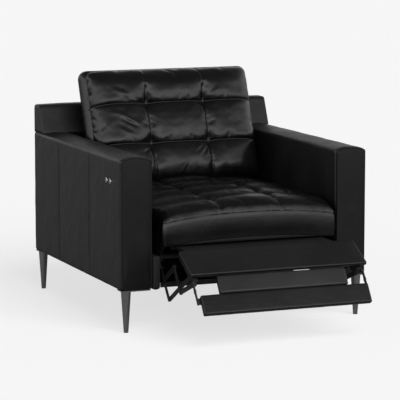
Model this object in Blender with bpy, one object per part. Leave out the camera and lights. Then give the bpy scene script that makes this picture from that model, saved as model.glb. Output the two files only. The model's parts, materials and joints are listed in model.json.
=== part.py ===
"""Power recliner chair with a tufted seat and back, and a footrest on a folding bar linkage.

Metres, +Z up, the front of the chair towards -Y. The origin is on the floor under the middle of
the plan. Right and left are the sitter's: right is -X. The model stands as it does with the
footrest partly open. Side-view geometry is written as (s, z), where s = -y points forwards.
"""

from math import atan2, cos, hypot, pi, radians, sin

import bmesh
import bpy
from mathutils import Matrix, Vector

for leftover in list(bpy.data.objects):
    bpy.data.objects.remove(leftover)

# Overall body
BODY_WIDTH = 1.000
BODY_DEPTH = 1.029
FLOOR_CLEARANCE = 0.161
ARM_WIDTH = 0.124
GAP = 0.0003
HALF_WIDTH = BODY_WIDTH / 2
FRONT_S = BODY_DEPTH / 2
REAR_S = -FRONT_S
ARM_INNER_X = HALF_WIDTH - ARM_WIDTH

# Arms
ARM_EDGE_Z = 0.646
ARM_CROWN = 0.011
ARM_EDGE_ROUND = 0.007
ARM_PANEL_DEPTH = 0.012
ARM_PANEL_INSET = 0.0025
ARM_SEAMS_S = (FRONT_S - 0.7145, FRONT_S - 0.3545)
SEAM_DEPTH = 0.0022
SEAM_WIDTH = 0.005

# Outer back
OUTER_BACK_TOP_Z = 0.762
OUTER_BACK_DEPTH_AT_ARM = 0.1175
OUTER_BACK_DEPTH_AT_TOP = 0.0685
OUTER_BACK_DEPTH_LOW = 0.070
OUTER_BACK_STEP = 0.120
OUTER_BACK_ROUND = 0.016

# Base
RAIL_THICKNESS = 0.034
RAIL_INNER_X = ARM_INNER_X - RAIL_THICKNESS
RAIL_BOTTOM_Z = 0.156
RAIL_TOP_Z = 0.284
RAIL_FRONT_SETBACK = 0.002
RAIL_ROUND = 0.012
CROSS_RAIL_TOP_Z = 0.190
CROSS_RAIL_DEPTH = 0.060
CROSS_RAIL_S = (FRONT_S - 0.4245, REAR_S + 0.1845)
TRAY_THICKNESS = 0.003
TRAY_HALF_WIDTH = RAIL_INNER_X - 0.002
TRAY_NECK = RAIL_INNER_X - 0.0540
TRAY_SHOULDER_S = FRONT_S - 0.2840
TRAY_FRONT_S = FRONT_S - 0.1490
TRAY_LIP_Z = 0.1360

# Legs
LEG_TOP_RADIUS = 0.0190
LEG_FOOT_RADIUS = 0.0088
LEG_INSET = 0.0265
LEG_SIDES = 24
LEG_FLANGE_THICKNESS = 0.004
LEG_FLANGE_INSET = 0.003
LEG_FLANGE_WIDTH = ARM_WIDTH - 0.008
LEG_FLANGE_DEPTH = 0.056

# Push buttons on the right arm
BUTTON_RADIUS = 0.00975
BUTTON_CLEARANCE = 0.0006
BUTTON_PROUD = 0.0035
BUTTON_STEM_RADIUS = 0.005
BUTTON_STEM_END = 0.0208
BUTTON_CAP_DEPTH = 0.0030
BUTTON_SIDES = 24
BUTTON_Z = 0.558
BUTTONS_S = {"button_open": FRONT_S - 0.1535, "button_close": FRONT_S - 0.1145}
SWITCH_FACE_DEPTH = 0.0090
SWITCH_DEPTH = 0.024
SWITCH_BORE_DEPTH = 0.019
SWITCH_MARGIN = 0.0025

# Seat carriage
PLATE_THICKNESS = 0.003
PLATE_GAP = 0.001
SEAT_PLATE_X = RAIL_INNER_X - 0.0195
SEAT_PLATE_TOP_Z = 0.3457
SEAT_PLATE_LOW_Z = 0.226
SEAT_PLATE_FRONT_S = FRONT_S - 0.0145
SEAT_PLATE_FRONT_HEIGHT = 0.030
SEAT_PLATE_REAR_S = REAR_S + 0.2235
SEAT_PLATE_REAR_RISE = 0.050
SEAT_PLATE_BOSS = 0.011
SEAT_FLANGE_WIDTH = 0.030
CHANNEL_Z = 0.2505
CHANNEL_HEIGHT = 0.029
CHANNEL_WALL = 0.0025
CHANNEL_SPAN_S = (REAR_S + 0.1195, FRONT_S - 0.0165)
SHOE_SPAN_S = (REAR_S + 0.2945, FRONT_S - 0.1845)
SHOE_CLEARANCE = 0.0005
DECK_TUBE_HEIGHT = 0.0190
DECK_TUBE_DEPTH = 0.0250
DECK_REAR_S = REAR_S + 0.3945
DECK_WALL = 0.0020
SPRING_WIRE = 0.0016
SPRING_SWING = 0.024
SPRING_PITCH = 0.062
SPRING_BULGE = 0.125
SPRING_POINTS_PER_WAVE = 8
SPRING_DROP = 0.008
SPRING_SPACING = SEAT_PLATE_X / 2
SPRING_PLACES = (-1.5, -0.5, 0.5, 1.5)

# Seat cushion and the band under its front edge
CUSHION_WIDTH = 2 * ARM_INNER_X - 0.037
SEAT_FRONT_S = FRONT_S + 0.0435
SEAT_REAR_S = REAR_S + 0.3665
SEAT_BOTTOM_Z = 0.346
SEAT_EDGE_Z = 0.438
SEAT_CROWN = 0.045
BAND_HEIGHT = 0.0195
BAND_INSET = 0.004
BAND_ROUND = 0.005
TUFT_X = 0.175 * CUSHION_WIDTH
SEAT_TUFTS = (0.245, 0.500, 0.755)
TUFT_DEPTH = 0.016
TUFT_REACH = 0.075
TUFT_SHARPNESS = 1.3
CHANNEL_DEPTH = 0.007
CHANNEL_REACH = 0.030
CHANNEL_SHARPNESS = 1.5
PAD_COLUMNS = 23
PAD_ROWS = 25
PAD_SHOULDER = 0.016
PAD_DRAW = 0.004
PAD_FLATNESS = 3.0

# Back cushion, its panel and the recline pivot
BACK_LEAN = radians(21.0)
BACK_FOOT_S = REAR_S + 0.3795
BACK_FOOT_Z = 0.455
BACK_LENGTH = 0.484
BACK_THICKNESS = 0.112
BACK_CROWN = 0.020
BACK_TUFTS = (0.368, 0.727)
RECLINE_PIVOT = (REAR_S + 0.2445, 0.325)
RECLINE_PIN_RADIUS = 0.006
RECLINE_HEAD_RADIUS = 0.009
BRACKET_FOOT = 0.030
BRACKET_REACH = 0.170
BRACKET_WIDTH = 0.034

# Footrest linkage, drawn at the angle the photograph shows
DRIVE_PIVOT = (FRONT_S - 0.0979, 0.2653)
DRIVE_LINK_LENGTH = 0.1834
DRIVE_LINK_ANGLE = radians(-51.41)
FRONT_LINK_LENGTH = 0.2580
FRONT_LINK_ANGLE = radians(30.22)
CROSS_PIN_DROP = 0.0875
CROSS_LINK_LENGTH = 0.1215
ROCKER_TAIL = 0.0259
ROCKER_BEND = radians(20.80)
CONTROL_LINK_LENGTH = 0.1456
CONTROL_LINK_ANGLE = radians(21.76)
LINK_WIDTH = 0.018
LINK_PLANE = SEAT_PLATE_X - 0.005
PIN_RADIUS = 0.0040
PIN_HEAD_RADIUS = 0.0065
PIN_CLEARANCE = 0.0003
OPEN_PIN_CLEARANCE = 0.0035
EYE_WALL = 0.004
TORQUE_TUBE_RADIUS = 0.011
TORQUE_TUBE_CLEARANCE = 0.0004
HUB_WALL = 0.006
BACK_PANEL_WIDTH = 2 * (LINK_PLANE - GAP) - 0.0004
BACK_PANEL_THICKNESS = 0.018
BACK_PANEL_FOOT = 0.020
BACK_PANEL_LENGTH = 0.400

# Footrest boards
BOARD_ANGLE = radians(-28.0)
MAIN_PIN_AT = (0.0800, -0.0505)
MAIN_BOARD_LENGTH = 0.1425
MAIN_BOARD_WIDTH = 2 * ARM_INNER_X - 0.052
MAIN_BOARD_THICKNESS = 0.028
MAIN_BOARD_EDGE = 0.0115
MAIN_BOARD_BEVEL = 0.018
MAIN_BOARD_ROUND = 0.0055
BRACKET_REAR = 0.020
BRACKET_FLANGE_REAR = 0.025
CONTROL_PIN_AT = (0.1271, -0.0559)
FLIP_PIN_AT = (0.1440, -0.0370)
FLIP_PIN_RADIUS = 0.0032
FLIP_ANGLE = radians(-57.5)
FLIP_FACE_OFFSET = 0.0335
FLIP_THICKNESS = 0.022
FLIP_ROUND = 0.006
UPPER_BOARD_WIDTH = MAIN_BOARD_WIDTH - 0.192
UPPER_BOARD_SPAN = (-0.0080, 0.0600)
LOWER_BOARD_WIDTH = MAIN_BOARD_WIDTH - 0.036
LOWER_BOARD_SPAN = (0.0615, 0.1375)
FLIP_ARM_X = LOWER_BOARD_WIDTH / 2 + 0.005
FLIP_ARM_REACH = 0.090
FLIP_KNUCKLE_RADIUS = 0.0095
FLIP_ARM_HALF = 0.0065
FLIP_STRAP_OVERLAP = 0.080
FLIP_STRAP_INSET = 0.004
FLIP_TONGUE_WIDTH = 0.030
FLIP_TONGUE_INSET = 0.012

# Sliding bridge panel between the seat and the main footrest board
BRIDGE_WIDTH = 2 * SEAT_PLATE_X - 0.045
BRIDGE_SPAN_S = (FRONT_S - 0.0745, FRONT_S + 0.1755)
BRIDGE_TOP_Z = 0.3225
BRIDGE_THICKNESS = 0.012
BRIDGE_ROUND = 0.004
GUIDE_WALL = 0.003
GUIDE_LIP = 0.010

# Actuator
CRANK_RADIUS = 0.042
CRANK_LEAD = radians(-4.40)
CRANK_THICKNESS = 0.008
CRANK_WIDTH = 0.016
CRANK_BOSS_WALL = 0.005
ROD_Z = 0.2305
ROD_RADIUS = 0.006
ROD_CLEARANCE = 0.0006
YOKE_S = DRIVE_PIVOT[0] + 0.0198
YOKE_SLOT_WIDTH = 0.017
YOKE_CHEEK = 0.007
YOKE_CHEEK_THICKNESS = 0.004
YOKE_TOP_Z = 0.2515
YOKE_FLOOR_Z = 0.2175
YOKE_SHANK = 0.012
ROD_REAR_S = REAR_S + 0.4645
ROD_RETRACT = 0.0620
BARREL_RADIUS = 0.021
BARREL_FRONT_S = REAR_S + 0.6945
GEARBOX_SPAN_S = (REAR_S + 0.2745, REAR_S + 0.3965)
GEARBOX_WIDTH = 0.070
GEARBOX_HEIGHT = 0.062
GEARBOX_ROUND = 0.008
MOTOR_RADIUS = 0.026
MOTOR_LENGTH = 0.085
MOTOR_OFFSET = 0.020
REAR_TUBE_S = REAR_S + 0.3145
REAR_TUBE_RADIUS = 0.011

SIDES = (("right", -1), ("left", 1))


def shift(point, direction, distance):
    """The point a distance away along an angle, in the side view."""
    return (point[0] + distance * cos(direction), point[1] + distance * sin(direction))


def turned(point, angle):
    """The side-view point turned about the origin."""
    return (
        point[0] * cos(angle) - point[1] * sin(angle),
        point[0] * sin(angle) + point[1] * cos(angle),
    )


def plus(first, second):
    return (first[0] + second[0], first[1] + second[1])


def minus(first, second):
    return (first[0] - second[0], first[1] - second[1])


# Materials
def make_material(name, color, roughness, metallic=0.0):
    material = bpy.data.materials.new(name)
    material.use_nodes = True
    shader = material.node_tree.nodes["Principled BSDF"]
    shader.inputs["Base Color"].default_value = (*color, 1.0)
    shader.inputs["Roughness"].default_value = roughness
    shader.inputs["Metallic"].default_value = metallic
    return material


FINISHES = {
    "leather": ((0.022, 0.022, 0.023), 0.42, 0.0),
    "board_leather": ((0.030, 0.030, 0.031), 0.40, 0.0),
    "rail_cloth": ((0.016, 0.016, 0.016), 0.90, 0.0),
    "wood": ((0.420, 0.300, 0.180), 0.70, 0.0),
    "black_steel": ((0.015, 0.015, 0.016), 0.45, 0.8),
    "zinc_steel": ((0.450, 0.450, 0.440), 0.35, 1.0),
    "leg_chrome": ((0.180, 0.185, 0.190), 0.12, 1.0),
    "button_chrome": ((0.700, 0.700, 0.710), 0.15, 1.0),
    "black_plastic": ((0.020, 0.020, 0.020), 0.50, 0.0),
    "nylon": ((0.750, 0.740, 0.700), 0.50, 0.0),
}


def finish(obj, look):
    """Give a node its own copy of a finish, and round shading between its sharp edges."""
    color, roughness, metallic = FINISHES[look]
    obj.data.materials.clear()
    obj.data.materials.append(make_material(obj.name + "_" + look, color, roughness, metallic))
    obj.data.shade_smooth()
    obj.data.set_sharp_from_angle(angle=radians(35.0))
    return obj


# Solids
def object_from(name, bm):
    bmesh.ops.recalc_face_normals(bm, faces=bm.faces)
    mesh = bpy.data.meshes.new(name)
    bm.to_mesh(mesh)
    bm.free()
    obj = bpy.data.objects.new(name, mesh)
    bpy.context.scene.collection.objects.link(obj)
    return obj


def prism(name, rings):
    """A closed solid from two outlines of equally many points, joined side by side."""
    bm = bmesh.new()
    first, last = ([bm.verts.new(point) for point in ring] for ring in rings)
    bm.faces.new(first)
    bm.faces.new(last)
    count = len(first)
    for i in range(count):
        j = (i + 1) % count
        bm.faces.new((first[i], first[j], last[j], last[i]))
    return object_from(name, bm)


def side_prism(name, outline, x_from, x_to):
    """A side-view outline of (s, z) points, extruded across the chair."""
    return prism(name, [[(x, -s, z) for s, z in outline] for x in (x_from, x_to)])


def front_prism(name, outline, s_from, s_to):
    """A front-view outline of (x, z) points, extruded along the chair."""
    return prism(name, [[(x, -s, z) for x, z in outline] for s in (s_from, s_to)])


def box(name, x_span, s_span, z_span):
    outline = [(s, z) for s, z in zip((s_span[0], s_span[1], s_span[1], s_span[0]), sorted(z_span * 2))]
    return side_prism(name, outline, *x_span)


def ring_points(center, radius, count, start=0.0, sweep=2 * pi, closed=True):
    steps = count if closed else count - 1
    return [shift(center, start + sweep * i / steps, radius) for i in range(count)]


def bar_outline(points, radius, count=7):
    """The outline of a flat bar with round ends, through two or more points."""
    headings = [atan2(ahead[1] - near[1], ahead[0] - near[0]) for near, ahead in zip(points, points[1:])]
    left, right = [], []
    for before, after, point in zip(headings, headings[1:], points[1:-1]):
        middle = (before + after) / 2
        reach = radius / cos((after - before) / 2)
        left.append(shift(point, middle + pi / 2, reach))
        right.append(shift(point, middle - pi / 2, reach))
    front = ring_points(points[-1], radius, count, headings[-1] - pi / 2, pi, closed=False)
    rear = ring_points(points[0], radius, count, headings[0] + pi / 2, pi, closed=False)
    return front + left[::-1] + rear + right


def cross_cylinder(name, center, radius, x_from, x_to, count=16):
    return side_prism(name, ring_points(center, radius, count), x_from, x_to)


def combine(target, tools, operation):
    """Join tools to a solid, or cut them out of it, and keep only the result."""
    for tool in tools:
        change = target.modifiers.new(operation, "BOOLEAN")
        change.operation = operation
        change.solver = "EXACT"
        change.object = tool
        graph = bpy.context.evaluated_depsgraph_get()
        result = bpy.data.meshes.new_from_object(target.evaluated_get(graph))
        target.modifiers.clear()
        target.data = result
        bpy.data.objects.remove(tool)
    return target


def join(target, *tools):
    return combine(target, tools, "UNION")


def cut(target, *tools):
    return combine(target, tools, "DIFFERENCE")


def rounded(obj, width, segments=2):
    """Round every edge that turns by more than 40 degrees."""
    bevel = obj.modifiers.new("edge_round", "BEVEL")
    bevel.width = width
    bevel.segments = segments
    bevel.limit_method = "ANGLE"
    bevel.angle_limit = radians(40.0)
    graph = bpy.context.evaluated_depsgraph_get()
    obj.data = bpy.data.meshes.new_from_object(obj.evaluated_get(graph))
    obj.modifiers.clear()
    return obj


# Arms: box frames upholstered in leather, with an arched top and a piped front panel

def arm_outline(sign, margin=0.0, low=FLOOR_CLEARANCE, steps=10):
    """Front view of an arm: straight sides and a top that crowns in one flat arc."""
    inner = ARM_INNER_X - margin
    outer = HALF_WIDTH + margin
    middle = (inner + outer) / 2
    half = (outer - inner) / 2
    points = [(sign * inner, low), (sign * outer, low)]
    for i in range(steps + 1):
        across = 1 - 2 * i / steps
        rise = ARM_CROWN * (1 - across * across)
        points.append((sign * (middle + half * across), ARM_EDGE_Z + rise + margin))
    return points


ARM_FRONT_S = FRONT_S - ARM_PANEL_DEPTH - GAP


def make_arm(side, sign):
    arm = front_prism("arm_" + side, arm_outline(sign), ARM_FRONT_S, REAR_S)
    rounded(arm, ARM_EDGE_ROUND, 2)
    for seam_s in ARM_SEAMS_S:
        half = SEAM_WIDTH / 2
        groove = [
            (sign * (HALF_WIDTH + SEAM_DEPTH), seam_s + 2 * half),
            (sign * (HALF_WIDTH - SEAM_DEPTH), seam_s),
            (sign * (HALF_WIDTH + SEAM_DEPTH), seam_s - 2 * half),
        ]
        levels = (FLOOR_CLEARANCE - SEAM_WIDTH, ARM_EDGE_Z - ARM_EDGE_ROUND)
        tool = prism("seam", [[(x, -s, z) for x, s in groove] for z in levels])
        cut(arm, tool)
    return arm


def make_arm_panel(side, sign):
    outline = arm_outline(sign, -ARM_PANEL_INSET, FLOOR_CLEARANCE + ARM_PANEL_INSET)
    panel = front_prism("arm_front_panel_" + side, outline, FRONT_S, FRONT_S - ARM_PANEL_DEPTH)
    return rounded(panel, ARM_PANEL_DEPTH / 3, 2)


arms = {side: make_arm(side, sign) for side, sign in SIDES}
for side, sign in SIDES:
    finish(make_arm_panel(side, sign), "leather")

# Switch housing and two push buttons in the outer face of the right arm
switch_hole = BUTTON_RADIUS + BUTTON_CLEARANCE
switch_outline = bar_outline(
    [(BUTTONS_S["button_open"], BUTTON_Z), (BUTTONS_S["button_close"], BUTTON_Z)],
    BUTTON_RADIUS + SWITCH_MARGIN,
    9,
)
pocket_outline = bar_outline(
    [(BUTTONS_S["button_open"], BUTTON_Z), (BUTTONS_S["button_close"], BUTTON_Z)],
    BUTTON_RADIUS + SWITCH_MARGIN + GAP,
    9,
)
face_x = -HALF_WIDTH
pocket_x = face_x + SWITCH_FACE_DEPTH
cut(arms["right"], side_prism("pocket", pocket_outline, pocket_x, pocket_x + SWITCH_DEPTH + 2 * GAP))
switch_housing = side_prism("switch_housing", switch_outline, pocket_x + GAP, pocket_x + GAP + SWITCH_DEPTH)
for name, button_s in BUTTONS_S.items():
    center = (button_s, BUTTON_Z)
    cut(arms["right"], cross_cylinder("hole", center, switch_hole, face_x - 0.01, pocket_x + GAP, BUTTON_SIDES))
    stem_hole = BUTTON_STEM_RADIUS + BUTTON_CLEARANCE
    cut(switch_housing, cross_cylinder("bore", center, stem_hole, face_x, pocket_x + SWITCH_BORE_DEPTH))
    cap_back = face_x + BUTTON_CAP_DEPTH
    button = cross_cylinder(name, center, BUTTON_RADIUS, face_x - BUTTON_PROUD, cap_back, BUTTON_SIDES)
    rounded(button, BUTTON_PROUD / 3, 2)
    stem_from = cap_back - BUTTON_CAP_DEPTH / 2
    join(button, cross_cylinder("stem", center, BUTTON_STEM_RADIUS, stem_from, face_x + BUTTON_STEM_END))
    finish(button, "button_chrome")
finish(switch_housing, "black_plastic")
for arm in arms.values():
    finish(arm, "leather")

# Outer back: a full-width frame that stands on the arms and drops between them
back_rake = OUTER_BACK_DEPTH_AT_ARM - OUTER_BACK_DEPTH_AT_TOP
low_step_z = ARM_EDGE_Z - OUTER_BACK_STEP
back_side = [
    (REAR_S, FLOOR_CLEARANCE),
    (REAR_S, OUTER_BACK_TOP_Z),
    (REAR_S + OUTER_BACK_DEPTH_AT_TOP, OUTER_BACK_TOP_Z),
    (REAR_S + OUTER_BACK_DEPTH_AT_TOP + back_rake, ARM_EDGE_Z),
    (REAR_S + OUTER_BACK_DEPTH_LOW, low_step_z),
    (REAR_S + OUTER_BACK_DEPTH_LOW, FLOOR_CLEARANCE),
]
back_frame = side_prism("back_frame", back_side, -HALF_WIDTH, HALF_WIDTH)
rounded(back_frame, OUTER_BACK_ROUND, 3)
for side, sign in SIDES:
    room = front_prism("room", arm_outline(sign, GAP, -0.05), 0.0, -BODY_DEPTH)
    low_side = box(
        "low_side",
        sorted((sign * (ARM_INNER_X + 0.01), sign * BODY_WIDTH)),
        (-BODY_DEPTH, 0.0),
        (0.0, ARM_EDGE_Z),
    )
    cut(back_frame, join(room, low_side))
finish(back_frame, "leather")

# Base: two upholstered side rails inside the arms and two cross rails between them
rail_outer_x = ARM_INNER_X - GAP
rail_front_s = FRONT_S - RAIL_FRONT_SETBACK
rail_rear_s = REAR_S + OUTER_BACK_DEPTH_LOW + GAP
for side, sign in SIDES:
    rail = box(
        "side_rail_" + side,
        sorted((sign * RAIL_INNER_X, sign * rail_outer_x)),
        (rail_rear_s, rail_front_s),
        (RAIL_BOTTOM_Z, RAIL_TOP_Z),
    )
    finish(rounded(rail, RAIL_ROUND, 2), "rail_cloth")
for name, rail_s in zip(("cross_rail_middle", "cross_rail_rear"), CROSS_RAIL_S):
    half = CROSS_RAIL_DEPTH / 2
    inner = RAIL_INNER_X - GAP
    rail = box(name, (-inner, inner), (rail_s - half, rail_s + half), (RAIL_BOTTOM_Z, CROSS_RAIL_TOP_Z))
    finish(rail, "rail_cloth")

# Base tray: a pressed steel pan under the cross rails that closes the chair from below. Its narrow
# front part runs between the linkages and ends in a lip that is turned down
tray_top = RAIL_BOTTOM_Z - GAP
tray_low = tray_top - TRAY_THICKNESS
tray_rear_s = CROSS_RAIL_S[1] - CROSS_RAIL_DEPTH / 2
tray = box(
    "base_tray", (-TRAY_HALF_WIDTH, TRAY_HALF_WIDTH), (tray_rear_s, TRAY_SHOULDER_S), (tray_low, tray_top)
)
join(tray, box("tongue", (-TRAY_NECK, TRAY_NECK), (TRAY_SHOULDER_S - 0.01, TRAY_FRONT_S), (tray_low, tray_top)))
lip_s = (TRAY_FRONT_S - TRAY_THICKNESS, TRAY_FRONT_S)
finish(join(tray, box("lip", (-TRAY_NECK, TRAY_NECK), lip_s, (TRAY_LIP_Z, tray_top))), "black_steel")

# Legs: turned steel cones welded to thin flanges that are screwed under the four corners
flange_top_z = FLOOR_CLEARANCE - GAP
flange_low_z = flange_top_z - LEG_FLANGE_THICKNESS
for place, along in (("front", 1), ("rear", -1)):
    for side, sign in SIDES:
        center_x = sign * (HALF_WIDTH - LEG_INSET)
        center_s = along * (FRONT_S - LEG_INSET)
        rings = []
        for radius, z in ((LEG_FOOT_RADIUS, 0.0), (LEG_TOP_RADIUS, flange_low_z + LEG_FLANGE_THICKNESS / 2)):
            plan = ring_points((center_x, center_s), radius, LEG_SIDES)
            rings.append([(x, -s, z) for x, s in plan])
        leg = prism("leg_" + place + "_" + side, rings)
        flange_x = sorted((sign * (HALF_WIDTH - LEG_FLANGE_INSET), sign * (HALF_WIDTH - LEG_FLANGE_WIDTH)))
        flange_s = sorted((along * (FRONT_S - LEG_FLANGE_INSET), along * (FRONT_S - LEG_FLANGE_DEPTH)))
        join(leg, box("flange", flange_x, flange_s, (flange_low_z, flange_top_z)))
        finish(leg, "leg_chrome")

# Slide channels on the side rails, and the nylon shoes that run in them
channel_outer_x = RAIL_INNER_X - GAP
channel_inner_x = SEAT_PLATE_X + PLATE_THICKNESS + PLATE_GAP
for side, sign in SIDES:
    half = CHANNEL_HEIGHT / 2
    channel = box(
        "slide_channel_" + side,
        sorted((sign * channel_inner_x, sign * channel_outer_x)),
        CHANNEL_SPAN_S,
        (CHANNEL_Z - half, CHANNEL_Z + half),
    )
    bite = box(
        "bite",
        sorted((sign * (channel_inner_x - PLATE_GAP), sign * (channel_outer_x - CHANNEL_WALL))),
        (CHANNEL_SPAN_S[0] - 0.01, CHANNEL_SPAN_S[1] + 0.01),
        (CHANNEL_Z - half + CHANNEL_WALL, CHANNEL_Z + half - CHANNEL_WALL),
    )
    finish(cut(channel, bite), "black_steel")
    shoe_half = half - CHANNEL_WALL - SHOE_CLEARANCE
    shoe = box(
        "slide_shoe_" + side,
        sorted(
            (
                sign * (SEAT_PLATE_X + PLATE_THICKNESS + GAP),
                sign * (channel_outer_x - CHANNEL_WALL - SHOE_CLEARANCE),
            )
        ),
        SHOE_SPAN_S,
        (CHANNEL_Z - shoe_half, CHANNEL_Z + shoe_half),
    )
    finish(shoe, "nylon")

# Seat plates: pressed side plates with a top flange, a boss for the torque tube and a rear ear
boss_radius = TORQUE_TUBE_RADIUS + SEAT_PLATE_BOSS
ear_radius = BRACKET_WIDTH / 2
plate_side = [
    (SEAT_PLATE_FRONT_S, SEAT_PLATE_TOP_Z),
    (SEAT_PLATE_FRONT_S, SEAT_PLATE_TOP_Z - SEAT_PLATE_FRONT_HEIGHT),
    (DRIVE_PIVOT[0] + boss_radius, DRIVE_PIVOT[1] - boss_radius * 0.3),
    (DRIVE_PIVOT[0] + boss_radius * 0.5, DRIVE_PIVOT[1] - boss_radius),
    (DRIVE_PIVOT[0] - boss_radius * 0.8, DRIVE_PIVOT[1] - boss_radius),
    (SHOE_SPAN_S[1], SEAT_PLATE_LOW_Z),
    (SHOE_SPAN_S[0] - 0.010, SEAT_PLATE_LOW_Z - 0.010),
    (SEAT_PLATE_REAR_S, SEAT_PLATE_LOW_Z + SEAT_PLATE_REAR_RISE),
    (SEAT_PLATE_REAR_S, SEAT_PLATE_TOP_Z),
]
for side, sign in SIDES:
    plate = side_prism(
        "seat_plate_" + side, plate_side, sign * SEAT_PLATE_X, sign * (SEAT_PLATE_X + PLATE_THICKNESS)
    )
    flange = box(
        "flange",
        sorted((sign * (SEAT_PLATE_X + PLATE_THICKNESS), sign * (SEAT_PLATE_X - SEAT_FLANGE_WIDTH))),
        (DECK_REAR_S, SEAT_PLATE_FRONT_S),
        (SEAT_PLATE_TOP_Z - PLATE_THICKNESS, SEAT_PLATE_TOP_Z),
    )
    join(plate, flange)
    tube_hole = TORQUE_TUBE_RADIUS + TORQUE_TUBE_CLEARANCE
    through = (sign * (SEAT_PLATE_X - 0.01), sign * (SEAT_PLATE_X + 0.02))
    cut(plate, cross_cylinder("bore", DRIVE_PIVOT, tube_hole, *through, 20))
    pin_end = sign * (LINK_PLANE - GAP - PLATE_GAP)
    join(plate, cross_cylinder("pin", RECLINE_PIVOT, RECLINE_PIN_RADIUS, pin_end, sign * (SEAT_PLATE_X + 0.001)))
    head_from = sign * (LINK_PLANE - PIN_CLEARANCE)
    head_to = sign * (LINK_PLANE - PIN_CLEARANCE - 0.0015)
    join(plate, cross_cylinder("head", RECLINE_PIVOT, RECLINE_HEAD_RADIUS, head_to, head_from))
    finish(plate, "black_steel")

# Deck tubes across the seat, with guides for the bridge panel under the front one
tube_x = SEAT_PLATE_X + PLATE_THICKNESS
front_tube_s = (SEAT_PLATE_FRONT_S + GAP, SEAT_PLATE_FRONT_S + GAP + DECK_TUBE_DEPTH)
deck_z = (SEAT_PLATE_TOP_Z - DECK_TUBE_HEIGHT, SEAT_PLATE_TOP_Z)


def hollow_tube(name, half_length, s_span, z_span):
    tube = box(name, (-half_length, half_length), s_span, z_span)
    bore = box(
        "bore",
        (-half_length - 0.01, half_length + 0.01),
        (s_span[0] + DECK_WALL, s_span[1] - DECK_WALL),
        (z_span[0] + DECK_WALL, z_span[1] - DECK_WALL),
    )
    return cut(tube, bore)


front_tube = hollow_tube("deck_tube_front", tube_x, front_tube_s, deck_z)
bridge_half = BRIDGE_WIDTH / 2
bridge_low_z = BRIDGE_TOP_Z - BRIDGE_THICKNESS
for side, sign in SIDES:
    inner = bridge_half + SHOE_CLEARANCE
    guide = box(
        "guide",
        sorted((sign * inner, sign * (inner + GUIDE_WALL))),
        front_tube_s,
        (bridge_low_z - SHOE_CLEARANCE - GUIDE_WALL, deck_z[0] + DECK_WALL / 2),
    )
    lip = box(
        "lip",
        sorted((sign * (inner - GUIDE_LIP), sign * (inner + GUIDE_WALL))),
        front_tube_s,
        (bridge_low_z - SHOE_CLEARANCE - GUIDE_WALL, bridge_low_z - SHOE_CLEARANCE),
    )
    join(front_tube, join(guide, lip))
finish(front_tube, "black_steel")
rear_tube_x = SEAT_PLATE_X - GAP
rear_tube_s = (DECK_REAR_S - GAP - DECK_TUBE_DEPTH, DECK_REAR_S - GAP)
finish(hollow_tube("deck_tube_rear", rear_tube_x, rear_tube_s, deck_z), "black_steel")

# Sinuous springs from the front deck tube to the rear one
spring_z = SEAT_PLATE_TOP_Z - SPRING_DROP
spring_front = front_tube_s[0] - GAP
spring_rear = rear_tube_s[1] + GAP


def make_spring(index, center_x):
    """A wire that snakes from tube to tube in round-ended waves, with a straight run at each end."""
    curve = bpy.data.curves.new("seat_spring_%d" % index, "CURVE")
    curve.dimensions = "3D"
    curve.bevel_depth = SPRING_WIRE
    curve.bevel_resolution = 1
    curve.use_fill_caps = True
    length = spring_front - spring_rear
    waves = round(length / SPRING_PITCH)
    points = [(center_x, spring_front)]
    steps = waves * SPRING_POINTS_PER_WAVE
    lead = SPRING_PITCH / 5
    for i in range(steps + 1):
        share = i / steps
        swing = SPRING_SWING * sin(2 * pi * waves * share)
        bulge = SPRING_BULGE * SPRING_PITCH * sin(4 * pi * waves * share)
        points.append((center_x + swing, spring_front - lead - (length - 2 * lead) * share + bulge))
    points.append((center_x, spring_rear))
    spline = curve.splines.new("POLY")
    spline.points.add(len(points) - 1)
    for point, (x, s) in zip(spline.points, points):
        point.co = (x, -s, spring_z, 1.0)
    guide = bpy.data.objects.new("wire", curve)
    bpy.context.scene.collection.objects.link(guide)
    graph = bpy.context.evaluated_depsgraph_get()
    mesh = bpy.data.meshes.new_from_object(guide.evaluated_get(graph))
    bpy.data.objects.remove(guide)
    spring = bpy.data.objects.new("seat_spring_%d" % index, mesh)
    bpy.context.scene.collection.objects.link(spring)
    weld = spring.modifiers.new("weld", "WELD")
    weld.merge_threshold = 0.00001
    return finish(spring, "zinc_steel")


for number, place in enumerate(SPRING_PLACES, start=1):
    make_spring(number, place * SPRING_SPACING)

# Band of leather-covered board under the seat cushion's front edge
band_front_s = SEAT_FRONT_S - BAND_INSET
band = box(
    "seat_front_band",
    (BAND_INSET - CUSHION_WIDTH / 2, CUSHION_WIDTH / 2 - BAND_INSET),
    (front_tube_s[1] + GAP, band_front_s),
    (SEAT_BOTTOM_Z - GAP - BAND_HEIGHT, SEAT_BOTTOM_Z - GAP),
)
finish(rounded(band, BAND_ROUND, 2), "leather")


# Cushions
def tuft_relief(across, along, columns, rows, bottom):
    """How far the sewn tufts and the channels between them pull a face down."""
    pull = 0.0
    for column in columns:
        near = max(0.0, 1 - abs(across - column) / CHANNEL_REACH)
        pull = max(pull, CHANNEL_DEPTH * near ** CHANNEL_SHARPNESS)
    for row in rows:
        near = max(0.0, 1 - abs(along - row) / CHANNEL_REACH)
        pull = max(pull, CHANNEL_DEPTH * near ** CHANNEL_SHARPNESS)
    for column in columns:
        for row in rows:
            near = max(0.0, 1 - hypot(across - column, along - row) / TUFT_REACH)
            pull = max(pull, bottom * near ** TUFT_SHARPNESS)
    return pull


def spread(count, half, marks):
    """Grid places from -half to half, with the nearest ones moved onto the seam marks."""
    places = [-half + 2 * half * i / (count - 1) for i in range(count)]
    for mark in marks:
        nearest = min(range(1, count - 1), key=lambda i: abs(places[i] - mark))
        places[nearest] = mark
    return places


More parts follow.
